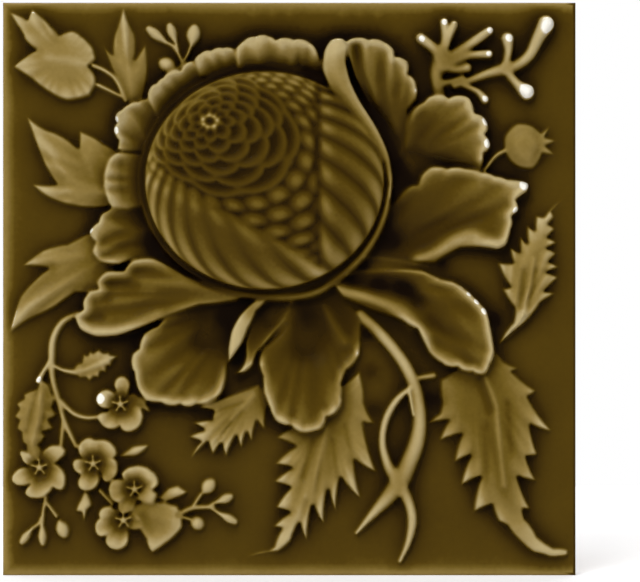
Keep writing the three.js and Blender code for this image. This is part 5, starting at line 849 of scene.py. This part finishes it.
def draw_head():
    """The dome's height is HEAD_FOOT at the rim and ART_CROWN at the top, between them by the root of
    1 - rim^2 to the power 0.9.  Each point is turned to an angle from the pole and a turn round it, which
    the pattern is worked out from, and the pattern's share is added."""
    patch = patch_round([(HEAD[0] - HEAD_HALF[0], HEAD[1] - HEAD_HALF[1]),
                         (HEAD[0] + HEAD_HALF[0], HEAD[1] + HEAD_HALF[1])], 3)
    x, z = across[patch], upward[patch]
    u, v = (x - HEAD[0]) / HEAD_HALF[0], (z - HEAD[1]) / HEAD_HALF[1]
    rim = np.hypot(u, v)
    up = np.sqrt(clamped(1 - rim**2))
    towards = np.stack([u, v, up], -1)
    turn = np.degrees(np.arctan2(towards @ POLE_NORTH, towards @ POLE_EAST))
    stretch = 1 + ROSETTE_STRETCH * np.cos(2 * np.radians(turn - ROSETTE_LEAN))
    angle = np.degrees(np.arccos(np.clip(towards @ POLE, -1, 1))) / stretch
    within = np.minimum(V_RIGHT - x, (z - V_LEFT[1] - V_LEFT[2] * (x - V_LEFT[0])) / np.hypot(1, V_LEFT[2]))
    groove = GROOVE_DEPTH * np.exp(-(((V_RIGHT - x) / GROOVE_WIDTH) ** 2)) * smooth((within + 2) / 2)
    leftward = smooth((V_RIGHT - 2 - x) / 4)
    in_v = smooth(0.5 + within / (2 * V_BLEND))
    outer = mixed(finger_height(turn, rim, -within, leftward), bead_height(angle, turn), in_v)
    inward = (row_edge(ROSETTE_ROWS - 1, turn) - angle) / (ROSETTE_ANGLE / ROSETTE_ROWS)
    in_rosette = smooth(inward / 0.16)
    stamens = stamen_bump(angle, turn)
    pattern = blurred(mixed(outer - groove, rosette_height(angle, turn), in_rosette), PATTERN_SOFT)
    carved = PATTERN_SHARE * pattern + STAMEN_HEIGHT * stamens
    rise = mixed(HEAD_FOOT, ART_CROWN, up**0.9) + carved * smooth((1 - rim) / 0.03)
    mask = 1 - (1 - clamped((1 - rim) / (1 - HEAD_EDGE))) ** 2
    drawn_off = CREST_TONES[0] + CREST_TONES[1] * np.maximum(in_rosette, in_v)
    # The stamens' share is thin glaze and a painted highlight.
    glaze_tone = (HEAD_TONE + ROSETTE_TONE * in_rosette + RIM_TONE * smooth((rim - 0.8) / 0.2)
                  - drawn_off * (pattern + 0.3 * (in_v - in_rosette).clip(0)) + STAMEN_THIN_AND_HIGHLIGHT * stamens)
    lay(patch, smooth((COLLAR_REACH - rim) / 0.025), np.maximum(height[patch], COLLAR_HEIGHT), COLLAR_TONE)
    lay(patch, mask, rise, glaze_tone)


draw_head()

# The strap along the upper right side of the head, pressed with the tile: a smooth petal folded over the
# head, rounded across and thick at its upper end.
blade([[8.7, 62.2, 0.08], [8.6, 57.5, 0.04], [10.4, 53, 0.03], [14.4, 48.6, 0.03], [19, 43.6, 0.03],
    [22.6, 38.4, 0.03], [25, 33, 0.02], [26, 28], [26.1, 23.6, 0.3], [27.3, 24.2, 0.04],
    [27.9, 29.5, 0.04], [26.9, 35.5, 0.04], [24.8, 40.4, 0.03], [21.9, 45.6], [19.2, 50, -0.02],
    [16.9, 54.8, -0.03], [15.6, 60, -0.02], [15.8, 64, 0.12], [14.8, 66.4, 0.25], [10.9, 66.2, 0.15]],
    root=[27, 24], near=[2, 4.6], far=[40, 6.4], cup=-0.7, lip=2.6, edge=0.9, tones=(0.3, 0),
    rim=PETAL_RIM)

# The glaze: transparent amber-brown, fired until it ran.  It draws thin over rims and tips, where the pale
# body shows through, and pools dark in every hollow, so its depth is worked out from the pressed form.
# Painted highlights on the highest tips and along the left, top and bottom edges, and painted shade in the
# deepest clefts, are laid on the same depth.
FIELD_DEPTH = 0.535                # on the plain field; 0 is none and 1.2 is black
TONE_SHARE = 0.6
EVENED = ((3.0, 0.19), (1.2, 0.06))  # how far it has run, and its share of each hollow or crest on the way
# Thinner glaze along the left, top and bottom edges, with a painted highlight there too; the right edge has
# none.
BORDER_THIN_AND_HIGHLIGHT = 0.22                # off the left, top and bottom edges
BORDER_REACH = 1.3
CLEFT_REACH = 4.0
CLEFT_START = 0.9                  # a cleft this much below what is round it fills further
CLEFT_SHARE = 0.13
FULL_POOL = 0.8                    # past this depth it gains only PAST_FULL as much
PAST_FULL = 0.4
THINNEST = 0.1
# Painted highlights on the highest tips.
TIP_HIGHLIGHT = 0.36
# Painted shade over the pooled glaze in the deepest clefts.
CLEFT_SHADE_AND_POOL = 0.18
SOFTENED = 0.24                    # how far the glaze rounds the pressed edges


def veil(points, half_wide):
    """1 along a line of points, or on one, falling off as e^-(distance / half width)^2, with its patch."""
    patch = patch_round(points, 3 * half_wide)
    thread = eased(points) if len(points) > 1 else np.array([points[0], points[0]])
    return patch, np.exp(-((nearest_on(across[patch], upward[patch], thread)[0] / half_wide) ** 2))


skin = blurred(height, SOFTENED)
pooling = sum(share * (blurred(skin, reach) - skin) for reach, share in EVENED)
# Lighter towards the left, top and bottom edges: thinner glaze there, and a painted highlight.
inset = np.minimum(across, -np.abs(upward)) + ART_SIDE / 2
edge_thin_and_highlight = BORDER_THIN_AND_HIGHLIGHT * np.exp(-inset / BORDER_REACH)
depth_with_painted_light = FIELD_DEPTH + TONE_SHARE * blurred(tone, 0.3) + pooling - edge_thin_and_highlight
depth_with_painted_light += CLEFT_SHARE * np.maximum(blurred(skin, CLEFT_REACH) - skin - CLEFT_START, 0)
depth_with_painted_light = np.minimum(depth_with_painted_light, FULL_POOL + PAST_FULL * (depth_with_painted_light - FULL_POOL))

# Along the rolled edges of the fans, the apron and the last petal it is thin: how much, half width, places.
for thinned, half_wide, *places in (
        (0.16, 1.3, (33.4, 7.6), (37, 8.6), (41, 10.8), (45, 12.8), (49.5, 13.4)),
        (0.16, 1.2, (13.5, 0.2), (18, -1.2), (23, -3.2), (28.5, -6.2), (32.4, -10.6)),
        (0.15, 0.5, (15.4, 3.6), (19.5, 4.7), (27, 5), (34.9, 4.5), (39.4, 2.8)),
        (0.12, 0.45, (20, 8.4), (26, 8), (31.4, 7.1), (36.6, 6)),
        (0.15, 0.6, (0.6, -3.6), (-1.6, -8.4), (-5, -12), (-7.2, -16), (-7.4, -20))):
    patch, share = veil(places, half_wide)
    depth_with_painted_light[patch] -= thinned * share

# In the deepest clefts between the petals, painted shade darkens the pooled glaze almost to black: x, z and
# the patch's half width.
for cleft_x, cleft_z, half_wide in (
        (-10, -6, 2.5), (-17.5, -8, 2.5), (5, -8, 3), (-14, -18, 2), (-13, -24, 2), (-36, 12, 3),
        (28, 33, 3), (31, 30, 3), (21, -12, 2), (22, -22, 2.2), (22.5, -32, 2), (38.5, -29, 3), (55, -8, 2),
        (27, 13, 3.2), (20, 6, 1.2), (5, 57, 1.6), (24, 1.4, 2.2), (30, 0, 2.6), (41, 6.4, 1.8)):
    patch, share = veil([(cleft_x, cleft_z)], half_wide)
    depth_with_painted_light[patch] += CLEFT_SHADE_AND_POOL * share * (1 - smooth((height[patch] - 3.5) / 2.5))
depth_with_painted_light = np.maximum(depth_with_painted_light, THINNEST)

# Painted highlights on the highest tips, near-white spots: x, z and the spot's half width.
for glint_x, glint_z, half_wide in (
        (69, 69.6, 1.7), (63.4, 52.6, 1.9), (58.4, 66.6, 0.8), (53.4, 68.6, 0.7), (53, 62.4, 0.6),
        (52.4, 50.4, 0.9), (41.2, 70.8, 0.6), (35.2, 66.4, 0.6), (52.6, 44.6, 1.1), (53, 38.6, 1.1),
        (34, 52.6, 0.9), (62.6, 27.8, 1.2), (60.4, 20.6, 0.8), (46, 0.9, 0.7), (48, -0.9, 0.8),
        (50, -3.1, 0.8), (51.8, -5.8, 0.8), (18.1, -17.3, 1.1), (-50.4, -29, 1.1), (-46.4, 44.8, 0.9),
        (-46.2, 42, 0.8), (-53, 15.8, 0.8), (-66.6, -24, 0.7), (-72, -45.6, 0.8)):
    patch, share = veil([(glint_x, glint_z)], half_wide)
    depth_with_painted_light[patch] -= TIP_HIGHLIGHT * share * smooth(height[patch] / 2 - 0.3)


# The pressed body of buff earthenware under the glaze, with its flat back keyed for the mortar by six
# channels.  The face is covered by large triangles where it is plain and small ones where it is carved.
def covering(fields, tolerances):
    """Triangles over a square sheet of 2^n steps, each halved at the middle of its long side until every
    field, taken straight along that side, is within its tolerance of the sheet's own value there, and
    its halves' long sides too.  Both triangles on a long side part together, so no gap opens."""
    last, size = GRID, GRID + 1
    levels = [np.array([[0, last * size + last, last], [last * size + last, 0, last * size]])]
    for _ in range(2 * int(np.log2(GRID))):
        a, b, c = levels[-1].T
        middle = (a + b) // 2
        levels.append(np.concatenate([np.stack([c, a, middle], 1), np.stack([b, c, middle], 1)]))
    error = np.zeros(size * size)
    for level in reversed(levels[:-1]):
        a, b, c = level.T
        middle = (a + b) // 2
        worst = np.zeros(len(a))
        for field, tolerance in zip(fields, tolerances):
            flat = field.ravel()
            lost = np.abs((flat[a] + flat[b]) / 2 - flat[middle])
            worst = np.maximum(worst, lost / tolerance.ravel()[middle])
        if level is not levels[-2]:
            worst = np.maximum(worst, np.maximum(error[(c + a) // 2], error[(b + c) // 2]))
        np.maximum.at(error, middle, worst)
    kept, whole = levels[0], []
    for _ in levels[:-1]:
        a, b, c = kept.T
        middle = (a + b) // 2
        parts = error[middle] > 1
        whole.append(kept[~parts])
        a, b, c, middle = a[parts], b[parts], c[parts], middle[parts]
        kept = np.concatenate([np.stack([c, a, middle], 1), np.stack([b, c, middle], 1)])
    return np.concatenate(whole + [kept])


SKIN_TOLERANCE = 0.045             # square to the skin, so that steep walls take no more triangles
GLAZE_TOLERANCE = 0.06
slope = np.hypot(*np.gradient(skin, PITCH))
tolerances = [SKIN_TOLERANCE * np.hypot(1, slope), np.full_like(depth_with_painted_light, GLAZE_TOLERANCE)]
triangles = covering([skin, depth_with_painted_light], tolerances)
used, index = np.unique(triangles, return_inverse=True)
face = index.reshape(-1, 3)
row, column = np.divmod(used, GRID + 1)
art_x, art_z = line[column], line[row]
face_share = (TILE_SIDE - 2 * ARRIS) / ART_SIDE
points = [np.stack([art_x * face_share,
                    -(BODY_THICKNESS + CROWN_HEIGHT / ART_CROWN * skin.ravel()[used]),
                    art_z * face_share], 1)]
faces = [face]

# Round the face goes its border, once round from the lower left corner, anticlockwise as the face is seen.
bottom = np.flatnonzero(row == 0)
right = np.flatnonzero(column == GRID)
top = np.flatnonzero(row == GRID)
left = np.flatnonzero(column == 0)
border = np.concatenate([bottom[np.argsort(art_x[bottom])][:-1], right[np.argsort(art_z[right])][:-1],
                         top[np.argsort(-art_x[top])][:-1], left[np.argsort(-art_z[left])][:-1]])
ring_x, ring_z = art_x[border] / ART_SIDE, art_z[border] / ART_SIDE
BACK_ARRIS = 0.5
rounding = np.radians([22.5, 45, 67.5, 90])
profile = [(ARRIS * (1 - np.sin(angle)), BODY_THICKNESS - ARRIS * (1 - np.cos(angle))) for angle in rounding]
profile += [(0, BODY_THICKNESS * share) for share in (0.72, 0.54, 0.36, 0.18)]
profile += [(0, BACK_ARRIS), (BACK_ARRIS, 0)]
rings = [border]
count = len(used)
for inset, out in profile:
    side = TILE_SIDE - 2 * inset
    points.append(np.stack([ring_x * side, np.full(len(border), -out), ring_z * side], 1))
    rings.append(count + np.arange(len(border)))
    count += len(border)
for upper, lower in zip(rings, rings[1:]):
    faces += [np.stack([upper, lower, np.roll(lower, -1)], 1),
              np.stack([upper, np.roll(lower, -1), np.roll(upper, -1)], 1)]

# The back: lands and channels on one net of lines, the channels' walls drafted.
KEY_DEPTH = 1.4
KEY_WIDTH = 11.0
KEY_LAND = 8.0
KEY_MARGIN = 9.0
KEY_DRAFT = 0.8
BACK_RIM = 2.0                     # between the back's edge and the net
key_pitch = KEY_LAND + KEY_WIDTH
middles = np.arange(key_pitch / 2, TILE_SIDE / 2 - KEY_MARGIN - KEY_WIDTH / 2 + 0.01, key_pitch)
middles = np.concatenate([-middles[::-1], middles])
net_end = TILE_SIDE / 2 - BACK_RIM
channel = np.array([-KEY_WIDTH / 2, -KEY_WIDTH / 2 + KEY_DRAFT, KEY_WIDTH / 2 - KEY_DRAFT, KEY_WIDTH / 2])
net_x = np.concatenate([[-net_end], (middles[:, None] + channel).ravel(), [net_end]])
sunk_x = np.concatenate([[0], np.tile([0, 1, 1, 0], len(middles)), [0]])
wall = TILE_SIDE / 2 - KEY_MARGIN
net_z = np.array([-net_end, -wall, KEY_DRAFT - wall, 0, wall - KEY_DRAFT, wall, net_end])
sunk_z = np.array([0, 0, 1, 1, 1, 0, 0])
back_x, back_z = np.meshgrid(net_x, net_z)
points.append(np.stack([back_x, -KEY_DEPTH * np.outer(sunk_z, sunk_x), back_z], -1).reshape(-1, 3))
net = count + np.arange(back_x.size).reshape(back_x.shape)
a, b, c, d = net[:-1, :-1].ravel(), net[:-1, 1:].ravel(), net[1:, 1:].ravel(), net[1:, :-1].ravel()
faces += [np.stack([a, c, b], 1), np.stack([a, d, c], 1)]


def strip(outer, outer_place, inner, inner_place):
    """Fills between two lines of points that run the same way: each inner run takes the outer point
    nearest its middle, and the outer runs between those take the inner point there."""
    centres = (inner_place[1:] + inner_place[:-1]) / 2
    tip = np.abs(outer_place[None] - centres[:, None]).argmin(1)
    base = np.searchsorted(tip, np.arange(len(outer) - 1), side="right")
    return [np.stack([outer[:-1], inner[base], outer[1:]], 1),
            np.stack([inner[:-1], inner[1:], outer[tip]], 1)]


back_ring = np.append(rings[-1], rings[-1][0])
lengths = [len(bottom) - 1, len(right) - 1, len(top) - 1, len(left) - 1]
starts = np.concatenate([[0], np.cumsum(lengths)])
round_x, round_z = np.append(ring_x, ring_x[0]) * TILE_SIDE, np.append(ring_z, ring_z[0]) * TILE_SIDE
for number, (side_points, side_places, places) in enumerate([
        (net[0], net_x, round_x), (net[:, -1], net_z, round_z),
        (net[-1, ::-1], -net_x[::-1], -round_x), (net[::-1, 0], -net_z[::-1], -round_z)]):
    run = slice(starts[number], starts[number + 1] + 1)
    faces += strip(back_ring[run], places[run], side_points, side_places)

tile_points = np.concatenate(points) * MM
tile_faces = np.concatenate(faces)
tile_mesh = bpy.data.meshes.new("glazed_tile")
tile_mesh.vertices.add(len(tile_points))
tile_mesh.vertices.foreach_set("co", tile_points.ravel())
tile_mesh.loops.add(tile_faces.size)
tile_mesh.loops.foreach_set("vertex_index", tile_faces.ravel())
tile_mesh.polygons.add(len(tile_faces))
tile_mesh.polygons.foreach_set("loop_start", np.arange(0, tile_faces.size, 3))
tile_mesh.update(calc_edges=True)
tile_mesh.validate()

# The glaze's depth, with the painted highlights and shade laid on it, goes on the points; a second value says
# how bare the clay is, from the face to the back.
SIDE_DEPTH = 0.3                   # of the glaze on the tile's sides
# The right side takes deeper glaze: painted shade on the side away from the light.
RIGHT_SIDE_SHADE_DEPTH = 0.6
on_points = np.where(tile_points[:, 0] > (TILE_SIDE / 2 - ARRIS) * MM, RIGHT_SIDE_SHADE_DEPTH, SIDE_DEPTH)
on_points[:len(used)] = depth_with_painted_light.ravel()[used]
bare = clamped((tile_points[:, 1] / MM + BODY_THICKNESS) / BODY_THICKNESS)
for name, values in (("glaze_depth", on_points), ("bare_clay", bare)):
    tile_mesh.attributes.new(name, "FLOAT", "POINT").data.foreach_set("value", values.astype(np.float32))
tile_mesh.polygons.foreach_set("use_smooth", np.ones(len(tile_faces), bool))
tile_mesh.set_sharp_from_angle(angle=np.radians(60))
tile_piece = bpy.data.objects.new("glazed_tile", tile_mesh)
bpy.context.scene.collection.objects.link(tile_piece)

glaze = bpy.data.materials.new("amber_glaze")
glaze.use_nodes = True


def srgb(*levels):
    """A colour given in screen levels, 0 to 255, made linear."""
    c = np.array(levels) / 255
    return tuple(np.where(c <= 0.04045, c / 12.92, ((c + 0.055) / 1.055) ** 2.4))


# The lightest stops serve the pale body under thin glaze and the painted highlights.
GLAZE_STOPS = [
    (0.0, srgb(246, 242, 230)), (0.05, srgb(184, 166, 120)), (0.23, srgb(139, 117, 62)),
    (0.35, srgb(104, 84, 28)), (0.43, srgb(78, 59, 11)), (0.57, srgb(52, 36, 5)), (0.75, srgb(20, 11, 4)),
    (1.0, srgb(8, 3, 2))]
FULL_DEPTH = 1.2


def glaze_nodes(tree):
    """The colour goes through the stops with the glaze's depth and the painted highlights and shade laid on
    it, made a little uneven by cloud and speck, and turns to biscuit where the clay is bare."""
    shader = tree.nodes["Principled BSDF"]
    place = Value(tree, tree.nodes.new("ShaderNodeTexCoord").outputs["Object"])
    painted_and_glaze_depth = place.node("ShaderNodeAttribute", {"attribute_name": "glaze_depth"}, "Fac")
    clay = place.node("ShaderNodeAttribute", {"attribute_name": "bare_clay"}, "Fac")
    speck = place.node("ShaderNodeTexNoise", Vector=place, Scale=900.0, Detail=3.0)
    cloud = place.node("ShaderNodeTexNoise", Vector=place, Scale=90.0, Detail=3.0)
    ripple = place.node("ShaderNodeTexNoise", Vector=place, Scale=420.0, Detail=2.0)
    uneven = painted_and_glaze_depth + (speck - 0.5) * 0.05 + (cloud - 0.5) * 0.08
    glazed = place.node("ShaderNodeValToRGB", {"stops": GLAZE_STOPS}, Fac=uneven * (1 / FULL_DEPTH))
    biscuit = cloud.blend((*srgb(196, 172, 140), 1), (*srgb(214, 194, 166), 1))
    clay_mask = (clay + (cloud - 0.5) * 0.5).between(0.45, 0.62)
    colour = clay_mask.blend(glazed, biscuit)
    bump = place.node("ShaderNodeBump", Height=ripple, Strength=0.12, Distance=0.0002)
    tree.links.new(colour.socket, shader.inputs["Base Color"])
    tree.links.new((clay_mask * 0.72 + 0.12).socket, shader.inputs["Roughness"])
    tree.links.new(bump.socket, shader.inputs["Normal"])


glaze_nodes(glaze.node_tree)
tile_mesh.materials.append(glaze)
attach(tile_piece, "root")
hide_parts("relief_tile")
